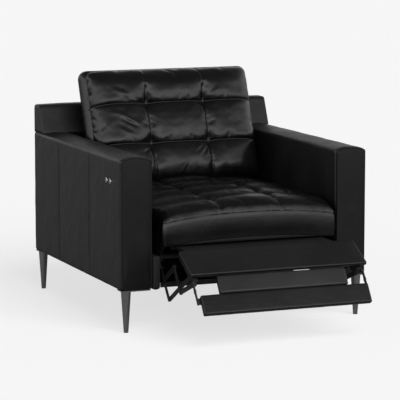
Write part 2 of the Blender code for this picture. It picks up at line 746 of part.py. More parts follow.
def pad(name, width, length, edge, crown, columns, rows, tuft):
    """A crowned pad lying on z = 0, with its near end at y = 0 and its far end at y = length.

    The face is a grid whose height crowns in the middle and falls to the edge height, less the
    tufts. Its rim runs down in three rings: a rounded shoulder, a drawn-in side and a foot.
    """
    half_width, half_length = width / 2, length / 2
    inset = PAD_SHOULDER
    columns_x = spread(PAD_COLUMNS, half_width - inset, columns)
    rows_y = spread(PAD_ROWS, half_length - inset, [row - half_length for row in rows])

    def drawn(x, y, pull):
        """Pull a rim point in between the corners."""
        u, v = x / half_width, y / half_length
        return (x * (1 - pull * (1 - v * v) / half_width), y * (1 - pull * (1 - u * u) / half_length))

    bm = bmesh.new()
    grid = []
    for y in rows_y:
        line = []
        for x in columns_x:
            u, v = x / (half_width - inset), y / (half_length - inset)
            dome = (1 - abs(u) ** PAD_FLATNESS) * (1 - abs(v) ** PAD_FLATNESS)
            height = edge + crown * dome - tuft_relief(x, y + half_length, columns, rows, tuft) * dome ** 0.3
            px, py = drawn(x, y, PAD_DRAW)
            line.append(bm.verts.new((px, py + half_length, height)))
        grid.append(line)
    for low, high in zip(grid, grid[1:]):
        for i in range(len(low) - 1):
            bm.faces.new((low[i], low[i + 1], high[i + 1], high[i]))
    rim = grid[0][:-1] + [row[-1] for row in grid[:-1]] + grid[-1][:0:-1] + [row[0] for row in grid[:0:-1]]
    flat = [(vert.co.x, vert.co.y - half_length) for vert in rim]
    previous = rim
    for outset, height in ((0.012, edge * 0.86), (inset, edge * 0.55), (0.010, 0.012), (0.004, 0.0)):
        ring = []
        for x, y in flat:
            stretch_x = (half_width - inset + outset) / (half_width - inset)
            stretch_y = (half_length - inset + outset) / (half_length - inset)
            ring.append(bm.verts.new((x * stretch_x, y * stretch_y + half_length, height)))
        count = len(ring)
        for i in range(count):
            j = (i + 1) % count
            bm.faces.new((previous[i], previous[j], ring[j], ring[i]))
        previous = ring
    bm.faces.new(previous)
    return object_from(name, bm)


seat_length = SEAT_FRONT_S - SEAT_REAR_S
seat = pad(
    "seat_cushion",
    CUSHION_WIDTH,
    seat_length,
    SEAT_EDGE_Z - SEAT_BOTTOM_Z,
    SEAT_CROWN,
    (-TUFT_X, TUFT_X),
    [share * seat_length for share in SEAT_TUFTS],
    TUFT_DEPTH,
)
seat.data.transform(Matrix.Translation((0, -SEAT_REAR_S, SEAT_BOTTOM_Z)) @ Matrix.Rotation(pi, 4, "Z"))
finish(seat, "leather")

# Back: a tufted cushion on a plywood panel, carried by two brackets on the recline pivot
# A point of the back is (x, along the lean, out of the front face)
lean = Matrix(
    (
        (1, 0, 0, 0),
        (0, sin(BACK_LEAN), -cos(BACK_LEAN), -BACK_FOOT_S),
        (0, cos(BACK_LEAN), sin(BACK_LEAN), BACK_FOOT_Z),
        (0, 0, 0, 1),
    )
)
back_edge = BACK_THICKNESS - BACK_CROWN
cushion = pad(
    "back_cushion",
    CUSHION_WIDTH,
    BACK_LENGTH,
    back_edge,
    BACK_CROWN,
    (-TUFT_X, TUFT_X),
    [share * BACK_LENGTH for share in BACK_TUFTS],
    TUFT_DEPTH,
)
cushion.data.transform(lean @ Matrix.Translation((0, 0, -back_edge)))
finish(cushion, "leather")


def back_point(along, out):
    """The side-view place of a point on the leaning back."""
    spot = lean @ Vector((0, along, out))
    return (-spot.y, spot.z)


panel_out = -(back_edge + GAP)
panel_edge = [
    back_point(BACK_PANEL_FOOT, panel_out),
    back_point(BACK_PANEL_LENGTH, panel_out),
    back_point(BACK_PANEL_LENGTH, panel_out - BACK_PANEL_THICKNESS),
    back_point(BACK_PANEL_FOOT, panel_out - BACK_PANEL_THICKNESS),
]
panel = side_prism("back_panel", panel_edge, -BACK_PANEL_WIDTH / 2, BACK_PANEL_WIDTH / 2)
finish(panel, "wood")

bracket_line = panel_out - ear_radius
for side, sign in SIDES:
    near = sign * LINK_PLANE
    far = sign * (LINK_PLANE + PLATE_THICKNESS)
    knee = back_point(BRACKET_FOOT, bracket_line)
    top = back_point(BRACKET_REACH, bracket_line)
    bracket = side_prism("back_bracket_" + side, bar_outline([RECLINE_PIVOT, knee, top], ear_radius), near, far)
    bore = RECLINE_PIN_RADIUS + PIN_CLEARANCE
    cut(bracket, cross_cylinder("bore", RECLINE_PIVOT, bore, near - sign * 0.01, far + sign * 0.01))
    finish(bracket, "black_steel")

# Footrest linkage: flat steel bars in planes side by side, riveted pins between them
FRONT_PLANE = LINK_PLANE - PLATE_THICKNESS - PLATE_GAP
OUTER_PLANE = LINK_PLANE + PLATE_THICKNESS + 2 * PLATE_GAP
knee_pin = shift(DRIVE_PIVOT, DRIVE_LINK_ANGLE, DRIVE_LINK_LENGTH)
cross_pin = shift(knee_pin, DRIVE_LINK_ANGLE, -CROSS_PIN_DROP)
cross_end = shift(cross_pin, FRONT_LINK_ANGLE, CROSS_LINK_LENGTH)
rocker_pin = shift(knee_pin, FRONT_LINK_ANGLE, CROSS_LINK_LENGTH)
rocker_end = shift(rocker_pin, DRIVE_LINK_ANGLE + ROCKER_BEND, ROCKER_TAIL)
main_pin = shift(knee_pin, FRONT_LINK_ANGLE, FRONT_LINK_LENGTH)
board_back = minus(main_pin, turned(MAIN_PIN_AT, BOARD_ANGLE))
control_end = shift(rocker_end, CONTROL_LINK_ANGLE, CONTROL_LINK_LENGTH)


def on_board(point):
    """A point given along and out of the main board's top face."""
    return plus(board_back, turned(point, BOARD_ANGLE))


control_pin = on_board(CONTROL_PIN_AT)
flip_pin = on_board(FLIP_PIN_AT)
half_link = LINK_WIDTH / 2


def link(name, sign, points, plane):
    """A flat bar with round ends in its own plane."""
    near, far = sign * plane, sign * (plane + PLATE_THICKNESS)
    return side_prism(name, bar_outline(points, half_link), near, far)


def pierce(bar, sign, center, radius):
    """Drill a pin hole through a bar."""
    reach = (sign * (FRONT_PLANE - 0.01), sign * (OUTER_PLANE + 0.02))
    return cut(bar, cross_cylinder("drill", center, radius, *reach))


def rivet(bar, sign, center, plane, far_plane):
    """A pin that stands out of the bar in one plane, through the bar in the next, with a head."""
    root = sign * (plane + PLATE_THICKNESS / 2)
    head = far_plane + PLATE_THICKNESS + PIN_CLEARANCE
    shank = cross_cylinder("shank", center, PIN_RADIUS, root, sign * (head + PLATE_GAP / 3))
    cap = cross_cylinder("cap", center, PIN_HEAD_RADIUS, sign * head, sign * (head + PLATE_GAP))
    return join(bar, join(shank, cap))


hole = PIN_RADIUS + PIN_CLEARANCE
for side, sign in SIDES:
    drive = link("drive_link_" + side, sign, [DRIVE_PIVOT, knee_pin], LINK_PLANE)
    hub = cross_cylinder(
        "hub", DRIVE_PIVOT, TORQUE_TUBE_RADIUS + HUB_WALL, sign * LINK_PLANE, sign * (LINK_PLANE + PLATE_THICKNESS)
    )
    join(drive, hub)
    pierce(drive, sign, DRIVE_PIVOT, TORQUE_TUBE_RADIUS + GAP)
    pierce(drive, sign, cross_pin, hole)
    pierce(drive, sign, knee_pin, hole)
    finish(drive, "black_steel")

    cross = link("cross_link_" + side, sign, [cross_pin, cross_end], FRONT_PLANE)
    rivet(cross, sign, cross_pin, FRONT_PLANE, LINK_PLANE)
    rivet(cross, sign, cross_end, FRONT_PLANE, LINK_PLANE)
    finish(cross, "black_steel")

    front = link("front_link_" + side, sign, [knee_pin, main_pin], FRONT_PLANE)
    rivet(front, sign, knee_pin, FRONT_PLANE, LINK_PLANE)
    rivet(front, sign, rocker_pin, FRONT_PLANE, LINK_PLANE)
    rivet(front, sign, main_pin, FRONT_PLANE, LINK_PLANE)
    finish(front, "black_steel")

    rocker = link("rocker_link_" + side, sign, [cross_end, rocker_pin, rocker_end], LINK_PLANE)
    pierce(rocker, sign, cross_end, hole)
    pierce(rocker, sign, rocker_pin, hole)
    rivet(rocker, sign, rocker_end, LINK_PLANE, OUTER_PLANE)
    finish(rocker, "black_steel")

    control = link("control_link_" + side, sign, [rocker_end, control_end], OUTER_PLANE)
    eye = cross_cylinder(
        "eye",
        control_end,
        PIN_RADIUS + OPEN_PIN_CLEARANCE + EYE_WALL,
        sign * OUTER_PLANE,
        sign * (OUTER_PLANE + PLATE_THICKNESS),
        20,
    )
    join(control, eye)
    pierce(control, sign, rocker_end, hole)
    pierce(control, sign, control_end, PIN_RADIUS + OPEN_PIN_CLEARANCE)
    finish(control, "black_steel")

# Torque tube: a round tube through both seat plates, with the crank that the actuator turns
tube_end = SEAT_PLATE_X + PLATE_THICKNESS + PLATE_GAP / 2
torque_tube = cross_cylinder("torque_tube", DRIVE_PIVOT, TORQUE_TUBE_RADIUS, -tube_end, tube_end, 20)
crank_angle = DRIVE_LINK_ANGLE + CRANK_LEAD
crank_pin = shift(DRIVE_PIVOT, crank_angle, CRANK_RADIUS)
half_crank = CRANK_THICKNESS / 2
crank = side_prism(
    "crank", bar_outline([DRIVE_PIVOT, crank_pin], CRANK_WIDTH / 2), -half_crank, half_crank
)
join(crank, cross_cylinder("boss", DRIVE_PIVOT, TORQUE_TUBE_RADIUS + CRANK_BOSS_WALL, -half_crank, half_crank, 20))
cheek_outer = half_crank + PLATE_GAP * 2 + YOKE_CHEEK_THICKNESS
pin_reach = cheek_outer + PLATE_GAP
join(crank, cross_cylinder("crank_pin", crank_pin, PIN_RADIUS, -pin_reach, pin_reach))
finish(join(torque_tube, crank), "black_steel")

# Footrest boards: padded leather boards on folded steel brackets
board = [on_board(point) for point in (
    (0.0, 0.0),
    (MAIN_BOARD_LENGTH, 0.0),
    (MAIN_BOARD_LENGTH, -MAIN_BOARD_EDGE),
    (MAIN_BOARD_LENGTH - MAIN_BOARD_BEVEL, -MAIN_BOARD_THICKNESS),
    (0.0, -MAIN_BOARD_THICKNESS),
)]
main_board = side_prism("footrest_main_board", board, -MAIN_BOARD_WIDTH / 2, MAIN_BOARD_WIDTH / 2)
finish(rounded(main_board, MAIN_BOARD_ROUND, 3), "board_leather")

flange_top = -MAIN_BOARD_THICKNESS - GAP
flange_low = flange_top - PLATE_THICKNESS
lug_x = FLIP_ARM_X - PLATE_GAP - PLATE_THICKNESS
web_low = min(MAIN_PIN_AT[1], CONTROL_PIN_AT[1]) - half_link
web_rear = MAIN_PIN_AT[0] - half_link * 1.6
web_front = CONTROL_PIN_AT[0] + half_link
for side, sign in SIDES:
    web = [on_board(point) for point in (
        (BRACKET_REAR, flange_top),
        (web_front, flange_top),
        (web_front, web_low + half_link * 0.6),
        (web_front - half_link * 0.6, web_low),
        (web_rear + half_link * 0.6, web_low),
        (web_rear, web_low + half_link * 0.6),
        (BRACKET_REAR, flange_low - half_link * 0.5),
    )]
    bracket = side_prism(
        "footrest_bracket_" + side, web, sign * LINK_PLANE, sign * (LINK_PLANE + PLATE_THICKNESS)
    )
    flange = [on_board(point) for point in (
        (BRACKET_FLANGE_REAR, flange_top - GAP / 3),
        (FLIP_PIN_AT[0] + 0.003, flange_top - GAP / 3),
        (FLIP_PIN_AT[0] + 0.003, flange_low),
        (BRACKET_FLANGE_REAR, flange_low),
    )]
    join(
        bracket,
        side_prism("flange", flange, sign * (LINK_PLANE + 0.001), sign * (lug_x + PLATE_THICKNESS)),
    )
    lug = bar_outline([on_board((FLIP_PIN_AT[0] - 0.008, flange_low + 0.001)), flip_pin], FLIP_ARM_HALF)
    lug_solid = side_prism("lug", lug, sign * lug_x, sign * (lug_x + PLATE_THICKNESS))
    trim = [on_board(point) for point in (
        (-0.1, flange_top - GAP / 2),
        (0.3, flange_top - GAP / 2),
        (0.3, 0.1),
        (-0.1, 0.1),
    )]
    cut(lug_solid, side_prism("trim", trim, sign * 0.2, sign * 0.5))
    join(bracket, lug_solid)
    pierce(bracket, sign, main_pin, hole)
    rivet(bracket, sign, control_pin, LINK_PLANE, OUTER_PLANE)
    shank_end = FLIP_ARM_X + PLATE_THICKNESS + PIN_CLEARANCE
    shank = cross_cylinder("shank", flip_pin, FLIP_PIN_RADIUS, sign * (lug_x + 0.001), sign * shank_end)
    join(bracket, shank)
    finish(bracket, "black_steel")


def on_flip(point):
    """A point given along and out of the folding boards, from their hinge pin."""
    return plus(flip_pin, turned(point, FLIP_ANGLE))


for name, width, span in (
    ("footrest_upper_flap", UPPER_BOARD_WIDTH, UPPER_BOARD_SPAN),
    ("footrest_front_board", LOWER_BOARD_WIDTH, LOWER_BOARD_SPAN),
):
    outline = [on_flip(point) for point in (
        (span[0], FLIP_FACE_OFFSET),
        (span[1], FLIP_FACE_OFFSET),
        (span[1], FLIP_FACE_OFFSET - FLIP_THICKNESS),
        (span[0], FLIP_FACE_OFFSET - FLIP_THICKNESS),
    )]
    flap = side_prism(name, outline, -width / 2, width / 2)
    finish(rounded(flap, FLIP_ROUND, 3), "board_leather")

strap_top = FLIP_FACE_OFFSET - FLIP_THICKNESS - GAP
strap_inner = UPPER_BOARD_WIDTH / 2 - FLIP_STRAP_OVERLAP
strap_rear = LOWER_BOARD_SPAN[0] + FLIP_STRAP_INSET
tongue_rear = UPPER_BOARD_SPAN[0] + FLIP_TONGUE_INSET
arm_line = strap_top - FLIP_ARM_HALF
for side, sign in SIDES:
    arm_near, arm_far = sign * FLIP_ARM_X, sign * (FLIP_ARM_X + PLATE_THICKNESS)
    elbow = on_flip((strap_rear + FLIP_ARM_HALF, arm_line))
    hand = on_flip((FLIP_ARM_REACH - FLIP_ARM_HALF, arm_line))
    outline = bar_outline([flip_pin, elbow, hand], FLIP_ARM_HALF)
    arm = side_prism("flip_arm_" + side, outline, arm_near, arm_far)
    knuckle = ((flip_pin[0] + elbow[0]) / 2, (flip_pin[1] + elbow[1]) / 2)
    join(arm, cross_cylinder("knuckle", knuckle, FLIP_KNUCKLE_RADIUS, arm_near, arm_far, 20))
    plan = (
        (FLIP_ARM_X + PLATE_THICKNESS / 2, strap_rear),
        (FLIP_ARM_X + PLATE_THICKNESS / 2, FLIP_ARM_REACH),
        (strap_inner, FLIP_ARM_REACH),
        (strap_inner, tongue_rear),
        (strap_inner + FLIP_TONGUE_WIDTH, tongue_rear),
        (strap_inner + FLIP_TONGUE_WIDTH, strap_rear),
    )
    rings = []
    for out in (strap_top - GAP, strap_top - GAP - PLATE_THICKNESS):
        spots = [(sign * x, on_flip((along, out))) for x, along in plan]
        rings.append([(x, -s, z) for x, (s, z) in spots])
    join(arm, prism("strap", rings))
    arm_hole = FLIP_PIN_RADIUS + PIN_CLEARANCE
    cut(arm, cross_cylinder("drill", flip_pin, arm_hole, sign * (FLIP_ARM_X - 0.002), sign * (FLIP_ARM_X + 0.01)))
    finish(arm, "black_steel")

# Bridge panel: a leather-covered board that slides out of the seat to fill the gap
bridge = box(
    "bridge_panel",
    (-bridge_half, bridge_half),
    BRIDGE_SPAN_S,
    (bridge_low_z, BRIDGE_TOP_Z),
)
finish(rounded(bridge, BRIDGE_ROUND, 2), "board_leather")

# Actuator: a geared motor on a cross tube, and a rod whose slotted yoke turns the crank
rear_tube = (REAR_TUBE_S, ROD_Z)
tube_half = SEAT_PLATE_X - GAP
finish(cross_cylinder("actuator_tube", rear_tube, REAR_TUBE_RADIUS, -tube_half, tube_half, 20), "black_steel")

gearbox = box(
    "actuator_housing",
    (-GEARBOX_WIDTH / 2, GEARBOX_WIDTH / 2),
    GEARBOX_SPAN_S,
    (ROD_Z - GEARBOX_HEIGHT / 2, ROD_Z + GEARBOX_HEIGHT / 2),
)
rounded(gearbox, GEARBOX_ROUND, 2)


def along_cylinder(name, radius, s_from, s_to, count=20):
    """A cylinder on the rod's axis."""
    return front_prism(name, ring_points((0.0, ROD_Z), radius, count), s_from, s_to)


join(gearbox, along_cylinder("barrel", BARREL_RADIUS, GEARBOX_SPAN_S[1] - 0.01, BARREL_FRONT_S))
motor_center = (sum(GEARBOX_SPAN_S) / 2 + MOTOR_OFFSET, ROD_Z)
motor_from = GEARBOX_WIDTH / 2 - 0.010
join(gearbox, cross_cylinder("motor", motor_center, MOTOR_RADIUS, motor_from, motor_from + MOTOR_LENGTH, 24))
cut(gearbox, along_cylinder("rod_bore", ROD_RADIUS + ROD_CLEARANCE, ROD_REAR_S - ROD_RETRACT, BARREL_FRONT_S + 0.01, 16))
cut(gearbox, cross_cylinder("tube_bore", rear_tube, REAR_TUBE_RADIUS + GAP, -0.1, 0.1, 20))
finish(gearbox, "black_plastic")

yoke_half = YOKE_SLOT_WIDTH / 2 + YOKE_CHEEK
yoke_rear = YOKE_S - yoke_half
rod = along_cylinder("actuator_rod", ROD_RADIUS, ROD_REAR_S, yoke_rear - 0.004, 16)
yoke = box(
    "yoke",
    (-cheek_outer, cheek_outer),
    (yoke_rear - YOKE_SHANK, YOKE_S + yoke_half),
    (YOKE_FLOOR_Z - YOKE_CHEEK, YOKE_TOP_Z),
)
cut(
    yoke,
    box(
        "slot",
        (-0.1, 0.1),
        (YOKE_S - YOKE_SLOT_WIDTH / 2, YOKE_S + YOKE_SLOT_WIDTH / 2),
        (YOKE_FLOOR_Z, YOKE_TOP_Z + 0.01),
    ),
)
crank_room = half_crank + PLATE_GAP * 2
for rear, floor in (
    (yoke_rear - 0.001, YOKE_FLOOR_Z - YOKE_CHEEK * 0.45),
    (yoke_rear - 0.1, ROD_Z + ROD_RADIUS + 0.002),
):
    room = box(
        "crank_room",
        (-crank_room, crank_room),
        (rear, YOKE_S + yoke_half + 0.01),
        (floor, YOKE_TOP_Z + 0.01),
    )
    cut(yoke, room)
finish(join(rod, yoke), "zinc_steel")

# Each moving node turns about its own origin, and the row's origin is on the floor under the
# middle of the chair with its footrest
PIVOTS = (
    (("torque_tube", "drive_link"), DRIVE_PIVOT),
    (("front_link",), knee_pin),
    (("cross_link",), cross_pin),
    (("rocker_link",), rocker_pin),
    (("control_link",), rocker_end),
    (("footrest_main", "footrest_bracket"), main_pin),
    (("footrest_upper", "footrest_front", "flip_arm"), flip_pin),
    (("back_cushion", "back_panel", "back_bracket"), RECLINE_PIVOT),
    (("button_open",), (BUTTONS_S["button_open"], BUTTON_Z)),
    (("button_close",), (BUTTONS_S["button_close"], BUTTON_Z)),
)
nodes = list(bpy.context.scene.objects)
depths = [vertex.co.y for node in nodes for vertex in node.data.vertices]
middle = (min(depths) + max(depths)) / 2
for node in nodes:
    pivot = Vector((0, 0, 0))
    for names, spot in PIVOTS:
        if node.name.startswith(names):
            pivot = Vector((0, -spot[0] - middle, spot[1]))
    node.data.transform(Matrix.Translation(-pivot - Vector((0, middle, 0))))
    node.location = pivot
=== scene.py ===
import json
from math import cos, pi, radians, sin

import bmesh
import bpy
import numpy as np
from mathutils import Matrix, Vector


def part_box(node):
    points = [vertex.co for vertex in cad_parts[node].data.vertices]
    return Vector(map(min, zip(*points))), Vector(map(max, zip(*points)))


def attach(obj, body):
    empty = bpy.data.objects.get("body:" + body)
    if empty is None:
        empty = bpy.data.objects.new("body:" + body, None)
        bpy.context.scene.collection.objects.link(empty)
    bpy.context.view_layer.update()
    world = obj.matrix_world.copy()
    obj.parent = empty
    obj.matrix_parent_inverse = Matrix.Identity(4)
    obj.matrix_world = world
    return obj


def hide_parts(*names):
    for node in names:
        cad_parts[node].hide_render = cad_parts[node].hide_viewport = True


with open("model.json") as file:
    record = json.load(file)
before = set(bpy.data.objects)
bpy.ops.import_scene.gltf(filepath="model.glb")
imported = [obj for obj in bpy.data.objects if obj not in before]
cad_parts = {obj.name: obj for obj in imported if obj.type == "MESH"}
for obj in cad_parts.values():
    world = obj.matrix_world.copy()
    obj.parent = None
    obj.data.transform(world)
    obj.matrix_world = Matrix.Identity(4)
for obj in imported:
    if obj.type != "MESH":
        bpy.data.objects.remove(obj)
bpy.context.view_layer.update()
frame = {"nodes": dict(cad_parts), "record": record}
nodes = frame["nodes"]
scene = bpy.context.scene

# The chair faces -Y. Depths are measured back from the fronts of the arms, and a side view of the
# linkage counts forwards from the middle of the arms' depth.
ARM_FRONT_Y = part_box("arm_front_panel_left")[0][1]
MIDDLE_Y = ARM_FRONT_Y + 0.5145

# The studio: a pale paper floor, a broad soft light high in front and a surround that is brightest low
# down ahead, where a long softbox stands, and dark at the ceiling. The camera stands at the
# photograph's angle.
CAMERA_PLACE = (-3.2683, MIDDLE_Y - 8.0542, 1.6645)
CAMERA_DIP = 8.2346
CAMERA_TURN = -22.2258
FOCAL_LENGTH_PIXELS = 2210.0
FRAME_PIXELS = 400.0
camera_data = bpy.data.cameras.new("studio_camera")
camera_data.sensor_width = 36.0
camera_data.lens = camera_data.sensor_width * FOCAL_LENGTH_PIXELS / FRAME_PIXELS
camera = bpy.data.objects.new("studio_camera", camera_data)
camera.location = CAMERA_PLACE
camera.rotation_euler = (radians(90.0 - CAMERA_DIP), 0.0, radians(CAMERA_TURN))
scene.collection.objects.link(camera)
scene.camera = camera
scene.view_settings.view_transform = "Standard"

OVERHEAD_HEADING = Vector((-0.18, 0.76, -0.62))
overhead_data = bpy.data.lights.new("overhead_light", "SUN")
overhead_data.energy = 4.6
overhead_data.angle = 0.9
overhead = bpy.data.objects.new("overhead_light", overhead_data)
overhead.rotation_euler = OVERHEAD_HEADING.to_track_quat("-Z", "Y").to_euler()
overhead.visible_glossy = False
scene.collection.objects.link(overhead)

BACKGROUND = 0.9215
SURROUND_BY_HEIGHT = (
    (0.0, 0.30), (0.08, 0.85), (0.16, 1.0), (0.30, 1.0),
    (0.44, 0.45), (0.58, 0.15), (0.80, 0.05), (1.0, 0.03),
)
SURROUND_BY_SIDE = (("Y", 2.80, 0.60), ("X", 1.25, 0.75))
MIRRORED_BACKGROUND = 0.10
world = bpy.data.worlds.new("studio_surround")
scene.world = world
world.use_nodes = True
shade = world.node_tree
shade.nodes.clear()
direction = shade.nodes.new("ShaderNodeTexCoord")
parts = shade.nodes.new("ShaderNodeSeparateXYZ")
shade.links.new(direction.outputs["Generated"], parts.inputs[0])
height_ramp = shade.nodes.new("ShaderNodeValToRGB")
height_ramp.color_ramp.elements.remove(height_ramp.color_ramp.elements[-1])
stops = height_ramp.color_ramp.elements
for rise, level in SURROUND_BY_HEIGHT:
    stop = stops[0] if rise == 0.0 else stops.new(rise)
    stop.color = (level, level, level, 1.0)
shade.links.new(parts.outputs["Z"], height_ramp.inputs["Fac"])
brightness = height_ramp.outputs["Color"]


def ranged(tree, value, source, target):
    """A value carried in proportion from one range to another, and held at the ends."""
    node = tree.nodes.new("ShaderNodeMapRange")
    for socket, number in zip(("From Min", "From Max", "To Min", "To Max"), (*source, *target)):
        node.inputs[socket].default_value = number
    tree.links.new(value, node.inputs["Value"])
    return node.outputs["Result"]


for axis, low_side, high_side in SURROUND_BY_SIDE:
    sideways = ranged(shade, parts.outputs[axis], (-1.0, 1.0), (low_side, high_side))
    product = shade.nodes.new("ShaderNodeMath")
    product.operation = "MULTIPLY"
    shade.links.new(brightness, product.inputs[0])
    shade.links.new(sideways, product.inputs[1])
    brightness = product.outputs[0]
lit = shade.nodes.new("ShaderNodeBackground")
lit.inputs["Color"].default_value = (1.0, 1.0, 1.0, 1.0)
shade.links.new(brightness, lit.inputs["Strength"])
seen = shade.nodes.new("ShaderNodeBackground")
seen.inputs["Color"].default_value = (BACKGROUND, BACKGROUND, BACKGROUND, 1.0)


def seen_share(tree, mirror_share):
    """How much of the plain background a ray sees: all of it for the camera, a share for mirrors."""
    ray = tree.nodes.new("ShaderNodeLightPath")
    mirrors = tree.nodes.new("ShaderNodeMath")
    mirrors.operation = "ADD"
    tree.links.new(ray.outputs["Is Glossy Ray"], mirrors.inputs[0])
    tree.links.new(ray.outputs["Is Transmission Ray"], mirrors.inputs[1])
    total = tree.nodes.new("ShaderNodeMath")
    total.operation = "MULTIPLY_ADD"
    total.use_clamp = True
    tree.links.new(mirrors.outputs[0], total.inputs[0])
    total.inputs[1].default_value = mirror_share
    tree.links.new(ray.outputs["Is Camera Ray"], total.inputs[2])
    return total.outputs[0]


pick = shade.nodes.new("ShaderNodeMixShader")
out = shade.nodes.new("ShaderNodeOutputWorld")
shade.links.new(seen_share(shade, MIRRORED_BACKGROUND), pick.inputs["Fac"])
shade.links.new(lit.outputs[0], pick.inputs[1])
shade.links.new(seen.outputs[0], pick.inputs[2])
shade.links.new(pick.outputs[0], out.inputs["Surface"])

# The floor is grey paper to the light, and shows as pale as the surround with the chair's shadow on it.
FLOOR_REACH = 40
FLOOR_Z = -0.0005
floor_turns = ((-1, -1), (1, -1), (1, 1), (-1, 1))
floor_corners = [(x * FLOOR_REACH, y * FLOOR_REACH, FLOOR_Z) for x, y in floor_turns]
floor_mesh = bpy.data.meshes.new("studio_floor")
floor_mesh.from_pydata(floor_corners, [], [(0, 1, 2, 3)])
floor = bpy.data.objects.new("studio_floor", floor_mesh)
scene.collection.objects.link(floor)
floor_look = bpy.data.materials.new("pale_floor")
floor_look.use_nodes = True
shade = floor_look.node_tree
shade.nodes.clear()
FLOOR_PAPER = 0.90
FLOOR_GLOW = 0.857
FLOOR_SHADOW_SHARE = 0.20
FLOOR_MIRRORED = 0.09
FLOOR_MIRRORED_BACKGROUND = 0.06
paper = shade.nodes.new("ShaderNodeBsdfDiffuse")
paper.inputs["Color"].default_value = (FLOOR_PAPER, FLOOR_PAPER, FLOOR_PAPER, 1.0)
glow = shade.nodes.new("ShaderNodeEmission")
glow.inputs["Color"].default_value = (1.0, 1.0, 1.0, 1.0)
glow.inputs["Strength"].default_value = FLOOR_GLOW
veil = shade.nodes.new("ShaderNodeMixShader")
veil.inputs["Fac"].default_value = 1.0 - FLOOR_SHADOW_SHARE
shade.links.new(paper.outputs[0], veil.inputs[1])
shade.links.new(glow.outputs[0], veil.inputs[2])
matt = shade.nodes.new("ShaderNodeBsdfDiffuse")
matt.inputs["Color"].default_value = (FLOOR_MIRRORED, FLOOR_MIRRORED, FLOOR_MIRRORED, 1.0)
pick = shade.nodes.new("ShaderNodeMixShader")
out = shade.nodes.new("ShaderNodeOutputMaterial")
shade.links.new(seen_share(shade, FLOOR_MIRRORED_BACKGROUND), pick.inputs["Fac"])
shade.links.new(matt.outputs[0], pick.inputs[1])
shade.links.new(veil.outputs[0], pick.inputs[2])
shade.links.new(pick.outputs[0], out.inputs["Surface"])
floor_mesh.materials.append(floor_look)


# Arms: box frames of timber and board, padded with thin foam and covered in soft black leather with
# an arched top. Two plain seams run down the outer side, and the leather between them is drawn a
# little fuller, so three flat panels show. Each cover is stapled under the frame's bottom edge.
def surface(name, constants):
    """A new material, its node tree and its shader, with constants set on the shader's own sockets."""
    look = bpy.data.materials.new(name)
    look.use_nodes = True
    shader = look.node_tree.nodes["Principled BSDF"]
    for socket, value in constants.items():
        shader.inputs[socket].default_value = value
    return look, look.node_tree, shader


def pattern(tree, kind, **settings):
    """A texture of the named kind on Object coordinates, with its inputs set by name."""
    place = tree.nodes.new("ShaderNodeTexCoord")
    texture = tree.nodes.new("ShaderNodeTex" + kind)
    tree.links.new(place.outputs["Object"], texture.inputs["Vector"])
    for socket, value in settings.items():
        texture.inputs[socket].default_value = value
    return texture


def toned(tree, value, dark, light, reach=(0.0, 1.0)):
    """A colour between a dark and a light one, in proportion to a value over its reach."""
    ramp = tree.nodes.new("ShaderNodeValToRGB")
    for stop, place, color in zip(ramp.color_ramp.elements, reach, (dark, light)):
        stop.position = place
        stop.color = (*color, 1.0)
    tree.links.new(value, ramp.inputs["Fac"])
    return ramp.outputs["Color"]


def bumped(tree, height, distance, strength, under=None, invert=False):
    """The normal of a surface raised by a height, on top of the one under it."""
    bump = tree.nodes.new("ShaderNodeBump")
    bump.invert = invert
    bump.inputs["Distance"].default_value = distance
    bump.inputs["Strength"].default_value = strength
    tree.links.new(height, bump.inputs["Height"])
    if under is not None:
        tree.links.new(under, bump.inputs["Normal"])
    return bump.outputs["Normal"]


def leather(name, tone, roughness, specular=0.42, grain=0.00018, crease=0.0007):
    """Grained leather: a pebble pattern of small cells with painted shade in the valleys between them,
    faint creases, and worn, shinier patches.
    """
    look, tree, shader = surface(name, {"Specular IOR Level": specular})
    cells = pattern(tree, "Voronoi", Scale=620.0, Randomness=0.9)
    pores = pattern(tree, "Noise", Scale=1500.0, Detail=2.0)
    folds = pattern(tree, "Noise", Scale=26.0, Detail=5.0, Distortion=0.9)
    patches = pattern(tree, "Noise", Scale=5.5, Detail=4.0)
    dark = (tone * 0.80, tone * 0.80, tone * 0.82)
    light = (tone * 1.22, tone * 1.21, tone * 1.22)
    # Painted shade: the base colour is multiplied down towards the edges of the pebble cells, where the
    # grain's valleys lie.
    valley_shade_mix = tree.nodes.new("ShaderNodeMix")
    valley_shade_mix.data_type = "RGBA"
    valley_shade_mix.blend_type = "MULTIPLY"
    valley_shade_mix.inputs["Factor"].default_value = 0.35
    tree.links.new(toned(tree, patches.outputs["Fac"], dark, light, (0.30, 0.72)), valley_shade_mix.inputs["A"])
    painted_valley_shade = ranged(tree, cells.outputs["Distance"], (0.0, 0.55), (1.0, 0.45))
    tree.links.new(painted_valley_shade, valley_shade_mix.inputs["B"])
    tree.links.new(valley_shade_mix.outputs["Result"], shader.inputs["Base Color"])
    gloss = ranged(tree, patches.outputs["Fac"], (0.30, 0.70), (roughness - 0.05, roughness + 0.07))
    tree.links.new(gloss, shader.inputs["Roughness"])
    wave = bumped(tree, folds.outputs["Fac"], crease, 0.55)
    fine = bumped(tree, pores.outputs["Fac"], grain * 0.4, 0.35, under=wave)
    pebble = bumped(tree, cells.outputs["Distance"], grain, 0.6, under=fine, invert=True)
    tree.links.new(pebble, shader.inputs["Normal"])
    return look


def even_outline(points, spacing):
    """A closed outline walked at an even spacing: corners in, points at equal steps of length out."""
    points = np.asarray(points, float)
    loop = np.vstack([points, points[:1]])
    run = np.concatenate([[0.0], np.cumsum(np.linalg.norm(np.diff(loop, axis=0), axis=1))])
    count = int(round(run[-1] / spacing))
    steps = np.linspace(0.0, run[-1], count, endpoint=False)
    return np.stack([np.interp(steps, run, loop[:, 0]), np.interp(steps, run, loop[:, 1])], axis=1)


